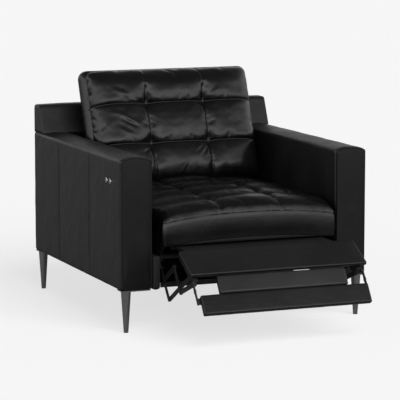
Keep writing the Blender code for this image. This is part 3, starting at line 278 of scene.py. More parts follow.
def round_corners(points, radii, steps=7):
    """Each corner of an outline becomes an arc that is tangent to the two sides that meet there."""
    points = np.asarray(points, float)
    out = []
    count = len(points)
    for i, radius in enumerate(radii):
        here, before, after = points[i], points[i - 1], points[(i + 1) % count]
        first = (before - here) / np.linalg.norm(before - here)
        last = (after - here) / np.linalg.norm(after - here)
        half = 0.5 * np.arccos(np.clip(first @ last, -1.0, 1.0))
        reach = radius / np.tan(half)
        middle = (first + last) / np.linalg.norm(first + last)
        center = here + middle * radius / np.sin(half)
        start = here + first * reach - center
        end = here + last * reach - center
        turn = pi - 2 * half
        share = np.linspace(0.0, 1.0, steps)[:, None]
        arc = (np.sin((1 - share) * turn) * start + np.sin(share * turn) * end) / np.sin(turn)
        out.append(center + arc)
    return np.vstack(out)


def outward(outline):
    """Unit normals of a closed outline that runs anticlockwise: its tangent turned to the right."""
    tangent = np.roll(outline, -1, axis=0) - np.roll(outline, 1, axis=0)
    normal = np.stack([tangent[:, 1], -tangent[:, 0]], axis=1)
    return normal / np.linalg.norm(normal, axis=1, keepdims=True)


def stations(low, high, spacing, rounding):
    """Places along a sweep: even steps, and closer ones round each end by the cosine rule."""
    turn = np.linspace(0.0, pi / 2, 7)
    near = rounding * (1 - np.cos(turn))
    middle = np.linspace(low + rounding, high - rounding, max(3, int((high - low) / spacing)))
    return np.concatenate([low + near[:-1], middle, (high - near[:-1])[::-1]])


def mesh_object(name, points, faces, looks):
    """A smooth-shaded mesh object from arrays of points and faces, with its normals turned outwards."""
    mesh = bpy.data.meshes.new(name)
    mesh.from_pydata(np.asarray(points).tolist(), [], faces)
    turned = bmesh.new()
    turned.from_mesh(mesh)
    bmesh.ops.recalc_face_normals(turned, faces=turned.faces)
    turned.to_mesh(mesh)
    turned.free()
    obj = bpy.data.objects.new(name, mesh)
    scene.collection.objects.link(obj)
    mesh.materials.append(looks)
    mesh.shade_smooth()
    return obj


def ring_faces(rings, count, closed_ends=True):
    """Quads between neighbouring rings of equally many points, and a cap on each end ring."""
    rows, columns = np.meshgrid(np.arange(rings - 1), np.arange(count), indexing="ij")
    ahead = (columns + 1) % count
    here, after = rows * count, (rows + 1) * count
    quads = np.stack([here + columns, here + ahead, after + ahead, after + columns], axis=-1)
    faces = quads.reshape(-1, 4).tolist()
    if closed_ends:
        faces.append(list(range(count))[::-1])
        faces.append(list(range((rings - 1) * count, rings * count)))
    return faces


def swept(name, outline, along, place, looks, rounding, relief=None):
    """An outline carried along a straight line, drawn in by a quarter circle at each end.

    The outline is moved along its own normal by the relief, a function of the outline's points and
    the place along the line. place turns (first, second, along) into x, y and z.
    """
    normal = outward(outline)
    low, high = along[0], along[-1]
    near = np.minimum(along - low, high - along)
    inside = np.clip(rounding - near, 0.0, rounding)
    inset = rounding - np.sqrt(rounding ** 2 - inside ** 2)
    first = outline[None, :, 0] - normal[None, :, 0] * inset[:, None]
    second = outline[None, :, 1] - normal[None, :, 1] * inset[:, None]
    if relief is not None:
        lift = relief(first, second, along[:, None] + 0.0 * first, normal)
        lift = lift * np.clip(near / (rounding + 1e-9), 0.0, 1.0)[:, None] ** 0.5
        first = first + normal[None, :, 0] * lift
        second = second + normal[None, :, 1] * lift
    x, y, z = place(first, second, along[:, None] + 0.0 * first)
    points = np.stack([x, y, z], axis=-1).reshape(-1, 3)
    return mesh_object(name, points, ring_faces(len(along), len(outline)), looks)


def ridge_noise(a, b, seed, size):
    """A smooth uneven field from a few crossed sine waves, between about -1 and 1."""
    rng = np.random.default_rng(seed)
    total = np.zeros_like(a)
    for octave in range(4):
        wave = 2 * pi / (size / 1.7 ** octave)
        heading = rng.uniform(0, pi)
        shift = rng.uniform(0, 2 * pi, 2)
        across = a * cos(heading) + b * sin(heading)
        along = b * cos(heading) - a * sin(heading)
        sway = 1.3 * np.sin(0.7 * wave * along + shift[1])
        total += np.sin(wave * across + shift[0] + sway) / 1.6 ** octave
    return total / 2.2


arm_leather = leather("arm_leather", 0.0040, 0.42, specular=0.50)
ARM_SEAM_Y = (ARM_FRONT_Y + 0.3545, ARM_FRONT_Y + 0.7145)
ARM_CROWN = 0.011
ARM_END_ROUND = 0.009
ARM_STEP = 0.0060
SEAM_BEND = 0.014
SEAM_DEPTH = 0.0030
SEAM_LIP = 0.0009
for side, sign in (("right", -1), ("left", 1)):
    low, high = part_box("arm_" + side)
    middle, half = (low[0] + high[0]) / 2, (high[0] - low[0]) / 2
    across = np.linspace(1, -1, 15)
    edge_z = high[2] - ARM_CROWN
    crown = np.stack([middle + half * across, edge_z + ARM_CROWN * (1 - across ** 2)], axis=1)
    corners = np.vstack([[[low[0], low[2]], [high[0], low[2]]], crown])
    radii = [0.006, 0.006, 0.009] + [0.004] * 13 + [0.009]
    outline = even_outline(round_corners(corners, radii, 5), 0.0070)

    def arm_relief(x, z, y, normal, sign=sign, low=low, edge_z=edge_z, high=high):
        """Panels swell between the seams by a sine, and faint ripples run over them.

        Each seam is cut by a narrow bell between two low lips, bends forwards and dies out just under
        the arm's top edge.
        """
        facing_out = np.clip(normal[None, :, 0] * sign, 0.0, 1.0) ** 2
        facing_in = np.clip(-normal[None, :, 0] * sign, 0.0, 1.0) ** 2
        facing_up = np.clip(normal[None, :, 1], 0.0, 1.0) ** 2
        below_edge = np.clip((edge_z - z) / 0.032, 0.0, 1.0)
        bend = SEAM_BEND * (1 - below_edge) ** 2
        marks = np.array([low[1], *ARM_SEAM_Y, high[1]])
        panel = np.clip(np.searchsorted(marks, y, side="right") - 1, 0, 2)
        start, end = marks[panel], marks[panel + 1]
        swell = np.sin(pi * np.clip((y - start) / (end - start), 0, 1)) ** 0.35
        tall = np.sin(pi * np.clip((z - low[2]) / (high[2] - low[2]), 0, 1)) ** 0.4
        lift = facing_out * (0.0034 * swell * tall - 0.0014)
        for seam in ARM_SEAM_Y:
            away = y - seam + bend
            cut = SEAM_DEPTH * np.exp(-((away / 0.0034) ** 2))
            lip = SEAM_LIP * np.exp(-(((np.abs(away) - 0.0095) / 0.0040) ** 2))
            lift = lift + facing_out * below_edge * (lip - cut)
        lift = lift + facing_out * 0.0008 * ridge_noise(y, z, 11, 0.16)
        lift = lift + facing_in * 0.0007 * ridge_noise(y, z, 12, 0.20)
        return lift + facing_up * 0.0010 * ridge_noise(y, x * 2, 13, 0.22)

    along = stations(low[1], high[1], ARM_STEP, ARM_END_ROUND)
    name = "arm_cover_" + side
    arm = swept(name, outline, along, lambda x, z, y: (x, y, z), arm_leather, ARM_END_ROUND, arm_relief)
    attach(arm, "frame")
    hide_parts("arm_" + side)


# Arm fronts: a separate board closes the front of each arm, padded and covered in smoother leather,
# arched like the arm's top and edged with piping, a leather cord sewn in all round. That leather is
# toned darker than the arms' sides: painted shade for the fronts, which get less light.
def tube(name, path, radius, looks, sides=10):
    """A round cord carried along a closed path: circles in the plane square to it at each point."""
    heading = np.roll(path, -1, axis=0) - np.roll(path, 1, axis=0)
    heading /= np.linalg.norm(heading, axis=1, keepdims=True)
    guide = [0.0, 1.0, 0.0] if np.abs(heading[:, 1]).max() < 0.9 else [1.0, 0.0, 0.0]
    side = np.cross(heading, guide)
    side /= np.linalg.norm(side, axis=1, keepdims=True)
    up = np.cross(side, heading)
    turn = np.linspace(0, 2 * pi, sides, endpoint=False)
    across, upward = np.cos(turn)[None, :, None], np.sin(turn)[None, :, None]
    circle = side[:, None, :] * across + up[:, None, :] * upward
    points = (path[:, None, :] + radius * circle).reshape(-1, 3)
    points = np.vstack([points, points[:sides]])
    obj = mesh_object(name, points, ring_faces(len(path) + 1, sides, closed_ends=False), looks)
    weld = bmesh.new()
    weld.from_mesh(obj.data)
    bmesh.ops.remove_doubles(weld, verts=weld.verts, dist=1e-6)
    bmesh.ops.recalc_face_normals(weld, faces=weld.faces)
    weld.to_mesh(obj.data)
    weld.free()
    return obj


def padded_panel(name, outline, front_y, back_y, puff, edge, looks, seed):
    """A shallow panel: rings of the outline run forwards over a rounded edge, then shrink inwards.

    The face's puff is a sine of the share of the way from the edge to the middle.
    """
    normal = outward(outline)
    center = outline.mean(axis=0)
    rings = []
    for turn in np.linspace(0, 1, 3):
        rings.append((outline, back_y + (front_y + edge - back_y) * turn))
    for angle in np.linspace(0, pi / 2, 6)[1:]:
        rings.append((outline - normal * edge * (1 - cos(angle)), front_y + edge * (1 - sin(angle))))
    border = rings[-1][0]
    for share in np.linspace(0, 1, 22)[1:-1]:
        rings.append((border + (center - border) * share, None))
    points = []
    for ring, depth in rings:
        if depth is None:
            away = 1 - np.linalg.norm(ring - center, axis=1) / np.linalg.norm(border - center, axis=1)
            swell = puff * np.sin(pi / 2 * np.clip(away * 2.2, 0, 1))
            swell = swell + 0.0006 * away * ridge_noise(ring[:, 0], ring[:, 1], seed, 0.13)
            depth = front_y - swell
        points.append(np.stack([ring[:, 0], depth + 0.0 * ring[:, 0], ring[:, 1]], axis=1))
    return mesh_object(name, np.vstack(points), ring_faces(len(rings), len(outline)), looks)


# Painted shade: half the arm leather's tone, so the fronts and their piping render darker than the sides.
shaded_panel_leather = leather("arm_panel_shaded_leather", 0.0020, 0.42, specular=0.28)
PANEL_PUFF = 0.0022
PANEL_EDGE = 0.004
PIPING_RADIUS = 0.0027
PANEL_RADII = [0.005, 0.005, 0.007] + [0.004] * 13 + [0.007]
for side, sign in (("right", -1), ("left", 1)):
    low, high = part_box("arm_front_panel_" + side)
    middle, half = (low[0] + high[0]) / 2, (high[0] - low[0]) / 2
    across = np.linspace(1, -1, 15)
    crown = np.stack([middle + half * across, high[2] - ARM_CROWN * across ** 2], axis=1)
    corners = np.vstack([[[low[0], low[2]], [high[0], low[2]]], crown])
    outline = even_outline(round_corners(corners, PANEL_RADII, 5), 0.006)
    front_y = low[1] + PANEL_PUFF
    name = "arm_front_" + side
    front_panel = padded_panel(
        name, outline, front_y, high[1], PANEL_PUFF, PANEL_EDGE, shaded_panel_leather, 21 + sign
    )
    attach(front_panel, "frame")
    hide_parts("arm_front_panel_" + side)
    cord_line = outline - outward(outline) * 0.0020
    cord_y = np.full(len(cord_line), low[1] + 0.0030)
    cord_path = np.stack([cord_line[:, 0], cord_y, cord_line[:, 1]], axis=1)
    piping = tube("arm_piping_" + side, cord_path, PIPING_RADIUS, shaded_panel_leather)
    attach(piping, "frame")


# Outer back: a leather box that stands on the arms, its front raked and its top edge soft, with a welt
# round each end. Below the arms' tops it goes on as a plain panel between them, stapled underneath.
back_low, back_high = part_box("back_frame")
ARM_TOP_Z = 0.646
BACK_END_ROUND = 0.010
PANEL_END_ROUND = 0.003
WELT_RADIUS = 0.0026
UPPER_RADII = [0.004, 0.018, 0.018, 0.006]
back_leather = leather("outer_back_leather", 0.0040, 0.42)
upper_corners = [
    (back_high[1], ARM_TOP_Z + 0.0005),
    (back_high[1], back_high[2]),
    (back_high[1] - 0.0685, back_high[2]),
    (back_high[1] - 0.1175, ARM_TOP_Z + 0.0005),
]
upper_outline = even_outline(round_corners(upper_corners, UPPER_RADII), 0.006)


def crosswise(y, z, x):
    """A side outline carried straight across the chair."""
    return x, y, z


def upper_relief(y, z, x, normal):
    """A soft swell on the front and top that falls to nothing at the ends, with faint ripples."""
    forward = np.clip(-normal[None, :, 0], 0, 1)
    over = np.clip(normal[None, :, 1], 0, 1)
    level = 1 - (np.abs(x) / back_high[0]) ** 4
    return (0.0022 * forward + 0.0022 * over) * level + 0.0007 * ridge_noise(x, z + y, 31, 0.20)


along = stations(back_low[0], back_high[0], 0.009, BACK_END_ROUND)
name = "outer_back_top"
upper = swept(name, upper_outline, along, crosswise, back_leather, BACK_END_ROUND, upper_relief)
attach(upper, "frame")
lower_corners = [
    (back_high[1], back_low[2]),
    (back_high[1], ARM_TOP_Z + 0.0100),
    (back_high[1] - 0.1100, ARM_TOP_Z + 0.0100),
    (back_high[1] - 0.0700, ARM_TOP_Z - 0.1200),
    (back_high[1] - 0.0700, back_low[2]),
]
lower_outline = even_outline(round_corners(lower_corners, [0.004, 0.003, 0.003, 0.010, 0.004]), 0.008)


def lower_relief(y, z, x, normal):
    """Faint ripples, strongest in the middle of the panel."""
    level = 1 - (x / 0.376) ** 2
    return 0.0009 * level * ridge_noise(x, z, 33, 0.24) + 0.0012 * level * np.abs(normal[None, :, 0])


inner_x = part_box("arm_left")[0][0] - 0.0003
along = stations(-inner_x, inner_x, 0.009, PANEL_END_ROUND)
name = "outer_back_panel"
lower = swept(name, lower_outline, along, crosswise, back_leather, PANEL_END_ROUND, lower_relief)
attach(lower, "frame")
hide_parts("back_frame")
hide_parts("back_frame")
for side, sign in (("right", -1), ("left", 1)):
    rim = upper_outline - outward(upper_outline) * 0.0035
    welt_x = sign * (back_high[0] - 0.0045)
    welt_path = np.stack([np.full(len(rim), welt_x), rim[:, 0], rim[:, 1]], axis=1)
    welt = tube("outer_back_welt_" + side, welt_path, WELT_RADIUS, back_leather)
    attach(welt, "frame")


# Cushions: blocks of foam in covers of the same leather, blown up by their filling; the cushions' copy of
# it is toned darker than the arms', as painted shade. A cover is a face, a boxing strip round it and an
# underside. Where its sewn lines cross, the leather is pulled down through the foam by ties, so the
# panels between swell and fold towards those tufts.
def rolled(low, high, marks, coarse, fine, reach, ends):
    """Places across a face: steps narrow by a bell curve near a mark, and each end is a quarter turn.

    In an end zone the places follow its depth times one less the cosine of even angles.
    """
    inner = np.linspace(low + ends[0], high - ends[1], 4000)
    near = np.exp(-(((inner[:, None] - np.asarray(marks)[None, :]) / reach) ** 2)).max(axis=1)
    density = 1.0 / (coarse + (fine - coarse) * near)
    run = np.concatenate([[0.0], np.cumsum(0.5 * (density[1:] + density[:-1]) * np.diff(inner))])
    middle = np.interp(np.linspace(0.0, run[-1], int(round(run[-1])) + 1), run, inner)
    first = np.linspace(0.0, pi / 2, int(1.3 * ends[0] / coarse) + 2)[:-1]
    last = np.linspace(0.0, pi / 2, int(1.3 * ends[1] / coarse) + 2)[:-1]
    head = low + ends[0] * (1 - np.cos(first))
    tail = high - ends[1] * (1 - np.cos(last[::-1]))
    return np.concatenate([head, middle, tail])


class Cover:
    """The grid of a closed cushion cover: a face, a boxing strip from its rim, and an underside.

    Each point has a place x and y and a level: 1 on the face, falling down the boxing to 0 on the
    underside, which repeats the face's grid. The plan's corners are arcs.
    """

    def __init__(self, columns, rows, corner, bands):
        """Lay the face's grid, then rings down the boxing, then the face's grid again underneath."""
        half_width, half_length = columns[-1], rows[-1]
        x, y = [grid.ravel() for grid in np.meshgrid(columns, rows)]
        into_corner = np.clip(np.abs(y) - (half_length - corner), 0, corner)
        narrow = half_width - corner + np.sqrt(corner ** 2 - into_corner ** 2)
        x = x * narrow / half_width
        face = np.arange(len(x)).reshape(len(rows), len(columns))
        rim = np.concatenate([face[0, :-1], face[:-1, -1], face[-1, :0:-1], face[:0:-1, 0]])
        count, base = len(rim), len(x)
        levels = np.linspace(1, 0, bands + 1)[1:-1]
        under = base + count * len(levels)
        self.x = np.concatenate([x, np.tile(x[rim], len(levels)), x])
        self.y = np.concatenate([y, np.tile(y[rim], len(levels)), y])
        self.level = np.concatenate([np.ones(base), np.repeat(levels, count), np.zeros(base)])
        self.on_face = np.arange(len(self.x)) < base
        self.on_side = ~self.on_face & (self.level > 0)
        self.along = self.y / half_length
        self.side_away = np.concatenate([narrow - np.abs(x), np.zeros(under)])
        self.rim = rim
        self.front_rows = face[:2]
        quads = np.stack([face[:-1, :-1], face[:-1, 1:], face[1:, 1:], face[1:, :-1]], axis=-1)
        quads = quads.reshape(-1, 4)
        self.faces = quads.tolist() + (quads[:, ::-1] + under).tolist()
        rings = [base + k * count + np.arange(count) for k in range(len(levels))]
        loops = [rim, *rings, rim + under]
        after = np.roll(np.arange(count), -1)
        for above, below in zip(loops, loops[1:]):
            self.faces += np.stack([above, below, below[after], above[after]], axis=-1).tolist()


def roll_over(away, depth):
    """The rise of a quarter ellipse from an edge: 0 at the edge, 1 from the given depth inwards."""
    return np.sqrt(1 - (1 - np.clip(away / depth, 0, 1)) ** 2)


def seam_gap(cover, columns, rows, span):
    """The distance from each point to the nearest seam: rows run right across, columns over a span."""
    past = np.clip(span[0] - cover.y, 0, None) + np.clip(cover.y - span[1], 0, None)
    gap = np.abs(cover.y[:, None] - np.asarray(rows)[None, :]).min(axis=1)
    for column in columns:
        gap = np.minimum(gap, np.hypot(cover.x - column, past))
    return gap


def tuft_gap(cover, columns, rows):
    """The distance from each point to the nearest crossing of a column and a row."""
    aside = np.abs(cover.x[:, None] - np.asarray(columns)[None, :]).min(axis=1)
    beside = np.abs(cover.y[:, None] - np.asarray(rows)[None, :]).min(axis=1)
    return np.hypot(aside, beside)


def fold(cover, start, end, height, width):
    """One fold in the leather: a ridge along a line and a valley beside it, fading at both ends.

    Both are bell curves of the distance across the line, and the fade is a sine along it.
    """
    line = np.subtract(end, start)
    length = np.hypot(*line)
    line = line / length
    beyond_x, beyond_y = cover.x - start[0], cover.y - start[1]
    run = (beyond_x * line[0] + beyond_y * line[1]) / length
    across = beyond_y * line[0] - beyond_x * line[1]
    fade = np.sin(pi * np.clip(run, 0, 1)) ** 0.8
    ridge = np.exp(-((across / width) ** 2))
    valley = np.exp(-((across / width - 1.7) ** 2))
    return height * fade * (ridge - 0.8 * valley)


def held_share(cover, seams, tufts, side_share):
    """How firmly each point is held while the cover is blown up: tufts and underside fully, seams less.

    Both fade by bell curves of the distance to them, and the rim has a share of its own.
    """
    held = np.where(cover.on_face, 0.0, np.where(cover.on_side, side_share, 1.0))
    held = np.maximum(held, cover.on_face * 0.3 * np.exp(-((seams / 0.005) ** 2)))
    held = np.maximum(held, cover.on_face * np.exp(-((tufts / 0.008) ** 2)))
    held[cover.rim] = 0.9
    return held


STUFFING_FRAMES = 20


def stuff(name, cover, start, held, cap, slack, looks):
    """Blow the cover up from inside by cloth simulation, with its seams held, and keep the result.

    No point moves further than the cap, one length or one for each point. A slack above 0 gives the
    cover spare leather to fold.
    """
    obj = mesh_object(name, start, cover.faces, looks)
    group = obj.vertex_groups.new(name="held")
    held = np.round(held, 1)
    for weight in np.unique(held[held > 0]):
        group.add(np.nonzero(held == weight)[0].tolist(), float(weight), "REPLACE")
    cloth = obj.modifiers.new("Cloth", "CLOTH")
    settings = cloth.settings
    settings.quality = 6
    settings.mass = 0.35
    settings.use_pressure = True
    settings.uniform_pressure_force = 4.0
    settings.tension_stiffness = 18
    settings.compression_stiffness = 10
    settings.shear_stiffness = 6
    settings.bending_stiffness = 0.8
    settings.tension_damping = 12
    settings.compression_damping = 12
    settings.air_damping = 6
    settings.shrink_min = -slack
    settings.effector_weights.gravity = 0.0
    settings.vertex_group_mass = "held"
    settings.pin_stiffness = 4.0
    cloth.collision_settings.use_self_collision = False
    cloth.point_cache.frame_start = 1
    cloth.point_cache.frame_end = STUFFING_FRAMES
    for moment in range(1, STUFFING_FRAMES + 1):
        scene.frame_set(moment)
    graph = bpy.context.evaluated_depsgraph_get()
    blown = obj.evaluated_get(graph).to_mesh()
    moved = np.empty(len(blown.vertices) * 3)
    blown.vertices.foreach_get("co", moved)
    obj.evaluated_get(graph).to_mesh_clear()
    obj.modifiers.clear()
    obj.vertex_groups.clear()
    scene.frame_set(1)
    step = moved.reshape(-1, 3) - start
    length = np.linalg.norm(step, axis=1, keepdims=True)
    start = start + step * np.minimum(1.0, cap / np.maximum(length, 1e-9))
    obj.data.vertices.foreach_set("co", np.ascontiguousarray(start).ravel())
    obj.data.update()
    return obj, start


def press(obj, points, lift):
    """Move each point of a cover along its own normal by its lift, and keep the result."""
    normals = np.empty(len(obj.data.vertices) * 3)
    obj.data.vertices.foreach_get("normal", normals)
    points = points + normals.reshape(-1, 3) * lift[:, None]
    obj.data.vertices.foreach_set("co", np.ascontiguousarray(points).ravel())
    obj.data.update()
    return points


def finish_cushion(obj, body, node):
    """One level of subdivision, then the calls that tie the cushion to the frame."""
    smooth = obj.modifiers.new("Subdivision", "SUBSURF")
    smooth.levels = 1
    smooth.render_levels = 1
    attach(obj, body)
    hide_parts(node)


STITCH_LENGTH = 0.0040
STITCH_RADIUS = 0.00055


def stitches(name, path, lift, looks, body):
    """A row of stitches: thin six-sided rods laid end to end along a path, tapered at their ends."""
    run = np.concatenate([[0.0], np.cumsum(np.linalg.norm(np.diff(path, axis=0), axis=1))])
    count = int(run[-1] / STITCH_LENGTH)
    shares = np.array([0.14, 0.3, 0.5, 0.7, 0.86])
    places = (np.arange(count)[None, :] + shares[:, None]) * run[-1] / count
    middle = np.stack([np.interp(places, run, path[:, k]) for k in range(3)], axis=-1)
    heading = middle[-1] - middle[0]
    heading /= np.linalg.norm(heading, axis=1, keepdims=True)
    up = np.asarray(lift, float)
    side = np.cross(heading, up)
    side /= np.linalg.norm(side, axis=1, keepdims=True)
    up = np.cross(side, heading)
    turn = np.linspace(0, 2 * pi, 6, endpoint=False)
    circle = side[:, None] * np.cos(turn)[None, :, None] + up[:, None] * np.sin(turn)[None, :, None]
    thick = STITCH_RADIUS * np.array([0.3, 0.85, 1.0, 0.85, 0.3])
    rods = middle[:, :, None, :] + circle[None] * thick[:, None, None, None]
    points = rods.transpose(1, 0, 2, 3).reshape(-1, 3)
    rod = ring_faces(5, 6)
    faces = [[corner + i * 30 for corner in face] for i in range(count) for face in rod]
    row = mesh_object(name, points, faces, looks)
    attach(row, body)


# Seat cushion: three columns and four rows of panels on a thick block of foam. Its front edge arches
# up in the middle, where a twin-stitched seam joins the top to a plain upright front.
# Painted shade: the cushions' leather, also used for the seat band, is toned about a third as light as
# the arms' same leather.
shaded_cushion_leather = leather("shaded_cushion_leather", 0.0014, 0.25, crease=0.0009)
seat_low, seat_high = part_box("seat_cushion")
SEAT_HALF_WIDTH = 0.3500
SEAT_HALF_LENGTH = (seat_high[1] - seat_low[1]) / 2
SEAT_MIDDLE_Y = (seat_low[1] + seat_high[1]) / 2
SEAT_UNDER_Z = seat_low[2] + 0.0003
SEAT_CORNER = 0.014
SEAT_SIDE_ROLL = 0.045
SEAT_FRONT_ROLL = 0.075
SEAT_REAR_ROLL = 0.050
SEAT_STEPS = (0.0070, 0.0026, 0.012)
SEAT_CAP = 0.009
TUFT_X = 0.1235
seat_rows = [2 * SEAT_HALF_LENGTH * (share - 0.5) for share in (0.245, 0.500, 0.755)]
seat_side_rolls = (SEAT_SIDE_ROLL, SEAT_SIDE_ROLL)
seat_end_rolls = (SEAT_FRONT_ROLL, SEAT_REAR_ROLL)
seat_cover = Cover(
    rolled(-SEAT_HALF_WIDTH, SEAT_HALF_WIDTH, (-TUFT_X, TUFT_X), *SEAT_STEPS, seat_side_rolls),
    rolled(-SEAT_HALF_LENGTH, SEAT_HALF_LENGTH, seat_rows, *SEAT_STEPS, seat_end_rolls),
    SEAT_CORNER,
    10,
)
seat_seams = seam_gap(seat_cover, (-TUFT_X, TUFT_X), seat_rows, (-1.0, 1.0))
seat_tufts = tuft_gap(seat_cover, (-TUFT_X, TUFT_X), seat_rows)


def front_seam(x):
    """The height of the seam along the seat's front edge: an arch that falls as a power of x."""
    return 0.4362 - 0.0220 * (np.abs(x) / 0.325) ** 2.6


def low_seam(x):
    """The height of the thin seam above the band under the seat: a flatter arch."""
    return 0.3416 - 0.0110 * (np.abs(x) / 0.281) ** 2.2


SEAT_CROWN_Z = 0.4890
CLIMB_SHARE = 0.52
CLIMB_DEPTH = 0.0060
TURN_DEPTH = 0.062
from_front = seat_cover.y + SEAT_HALF_LENGTH
seat_edge = 0.438 + (front_seam(seat_cover.x) - 0.438) * np.exp(-((from_front / 0.070) ** 2))
seat_top = SEAT_CROWN_Z - 0.026 * (seat_cover.x / 0.325) ** 2 - 0.004 * seat_cover.along ** 2
# Above the front seam the top first climbs near upright, then turns over by a sine
climb = np.clip(from_front / CLIMB_DEPTH, 0, 1)
turn_over = np.sin(pi / 2 * np.clip((from_front - CLIMB_DEPTH) / TURN_DEPTH, 0, 1))
risen = CLIMB_SHARE * climb + (1 - CLIMB_SHARE) * turn_over
risen = risen * roll_over(SEAT_HALF_LENGTH - seat_cover.y, SEAT_REAR_ROLL)
risen = risen * roll_over(seat_cover.side_away, SEAT_SIDE_ROLL)
dip = 0.008 * np.exp(-((seat_seams / 0.017) ** 2)) + 0.015 * np.exp(-((seat_tufts / 0.030) ** 2))
face_z = seat_edge + (seat_top - seat_edge) * risen - dip * risen
near_front = np.exp(-((from_front / 0.012) ** 2))
under_z = SEAT_UNDER_Z + (low_seam(seat_cover.x) - SEAT_UNDER_Z) * near_front
side_z = under_z + (seat_edge - under_z) * seat_cover.level
seat_z = np.where(seat_cover.on_face, face_z, side_z)
belly = 1 + 0.003 * np.sin(pi * seat_cover.level) * seat_cover.on_side / SEAT_HALF_WIDTH
seat_shape = np.stack([seat_cover.x * belly, seat_cover.y * belly + SEAT_MIDDLE_Y, seat_z], axis=1)
held = held_share(seat_cover, seat_seams, seat_tufts, 0.6)
free_share = np.where(seat_cover.on_face, np.clip(from_front / 0.045, 0.12, 1.0), 0.15)
seat_cap = SEAT_CAP * free_share[:, None]
SPARE_LEATHER = 0.01
seat, seat_points = stuff(
    "seat_cushion_cover", seat_cover, seat_shape, held, seat_cap, SPARE_LEATHER, shaded_cushion_leather
)
seat_lift = -0.0022 * seat_cover.on_face * np.exp(-((seat_seams / 0.0034) ** 2))
seat_lift[seat_cover.rim] -= 0.0016
for start, end, height, width in (
    ((-0.128, -0.300), (-0.122, -0.352), 0.0030, 0.006),
    ((0.126, -0.300), (0.119, -0.350), 0.0016, 0.005),
    ((-0.205, -0.318), (-0.160, -0.338), 0.0014, 0.010),
    ((-0.070, -0.322), (-0.020, -0.340), 0.0012, 0.010),
    ((0.175, -0.320), (0.235, -0.338), 0.0014, 0.010),
):
    seat_lift = seat_lift + seat_cover.on_face * fold(seat_cover, start, end, height, width)
seat_points = press(seat, seat_points, seat_lift)
finish_cushion(seat, "carriage", "seat_cushion")
thread = leather("seam_thread", 0.016, 0.55)
front_rim = seat_points[seat_cover.front_rows[0]]
for row, reach in (("upper", 0.45 * (seat_points[seat_cover.front_rows[1]] - front_rim)),
                   ("lower", np.array([0.0, -0.0004, -0.0055]))):
    line = (front_rim + reach)[np.abs(front_rim[:, 0]) < SEAT_HALF_WIDTH - 0.016]
    stitches("seat_stitches_" + row, line, (0.0, -1.0, 0.2), thread, "carriage")


# Back cushion: three by three panels on a thicker, softer block. The face stands well proud of the
# strip round its edge and rolls over at the top like a bolster; the cover is looser than the seat's.
BACK_LEAN = radians(21.0)
back_up = np.array([0.0, sin(BACK_LEAN), cos(BACK_LEAN)])
back_out = np.array([0.0, -cos(BACK_LEAN), sin(BACK_LEAN)])
BACK_LENGTH = 0.484
BACK_THICK = 0.092
BACK_FOOT = np.array([0.0, ARM_FRONT_Y + 0.6495, 0.455])
BACK_HALF_WIDTH = 0.3460
BACK_HALF_LENGTH = BACK_LENGTH / 2
BACK_RIM_OUT = -0.012
BACK_CROWN_OUT = 0.062
BACK_CORNER = 0.030
BACK_SIDE_ROLL = 0.110
BACK_FOOT_ROLL = 0.075
BACK_TOP_ROLL = 0.085
BACK_STEPS = (0.0066, 0.0026, 0.012)
BACK_CAP = 0.012
back_rows = [0.163 - BACK_HALF_LENGTH, 0.329 - BACK_HALF_LENGTH]
back_side_rolls = (BACK_SIDE_ROLL, BACK_SIDE_ROLL)
back_end_rolls = (BACK_FOOT_ROLL, BACK_TOP_ROLL)
back_cover = Cover(
    rolled(-BACK_HALF_WIDTH, BACK_HALF_WIDTH, (-TUFT_X, TUFT_X), *BACK_STEPS, back_side_rolls),
    rolled(-BACK_HALF_LENGTH, BACK_HALF_LENGTH, back_rows, *BACK_STEPS, back_end_rolls),
    BACK_CORNER,
    14,
)
back_seams = seam_gap(back_cover, (-TUFT_X, TUFT_X), back_rows, (-1.0, back_rows[1] + 0.060))
back_tufts = tuft_gap(back_cover, (-TUFT_X, TUFT_X), back_rows)
risen = roll_over(back_cover.side_away, BACK_SIDE_ROLL)
risen = risen * roll_over(back_cover.y + BACK_HALF_LENGTH, BACK_FOOT_ROLL)
risen = risen * roll_over(BACK_HALF_LENGTH - back_cover.y, BACK_TOP_ROLL)
dip = 0.006 * np.exp(-((back_seams / 0.013) ** 2)) + 0.018 * np.exp(-((back_tufts / 0.030) ** 2))
face_out = BACK_RIM_OUT + (BACK_CROWN_OUT - BACK_RIM_OUT) * risen - dip * risen
side_out = -BACK_THICK + (BACK_RIM_OUT + BACK_THICK) * back_cover.level
back_height = np.where(back_cover.on_face, face_out, side_out)
belly = 1 + 0.017 * np.sin(pi * back_cover.level) ** 0.8 * back_cover.on_side / BACK_HALF_WIDTH


def on_back(x, y, out):
    """Across stays x, y runs up the lean from the cushion's middle, and out leaves its front face."""
    along = np.asarray(y + BACK_HALF_LENGTH)[:, None]
    return BACK_FOOT + x[:, None] * [[1.0, 0.0, 0.0]] + along * back_up + out[:, None] * back_out


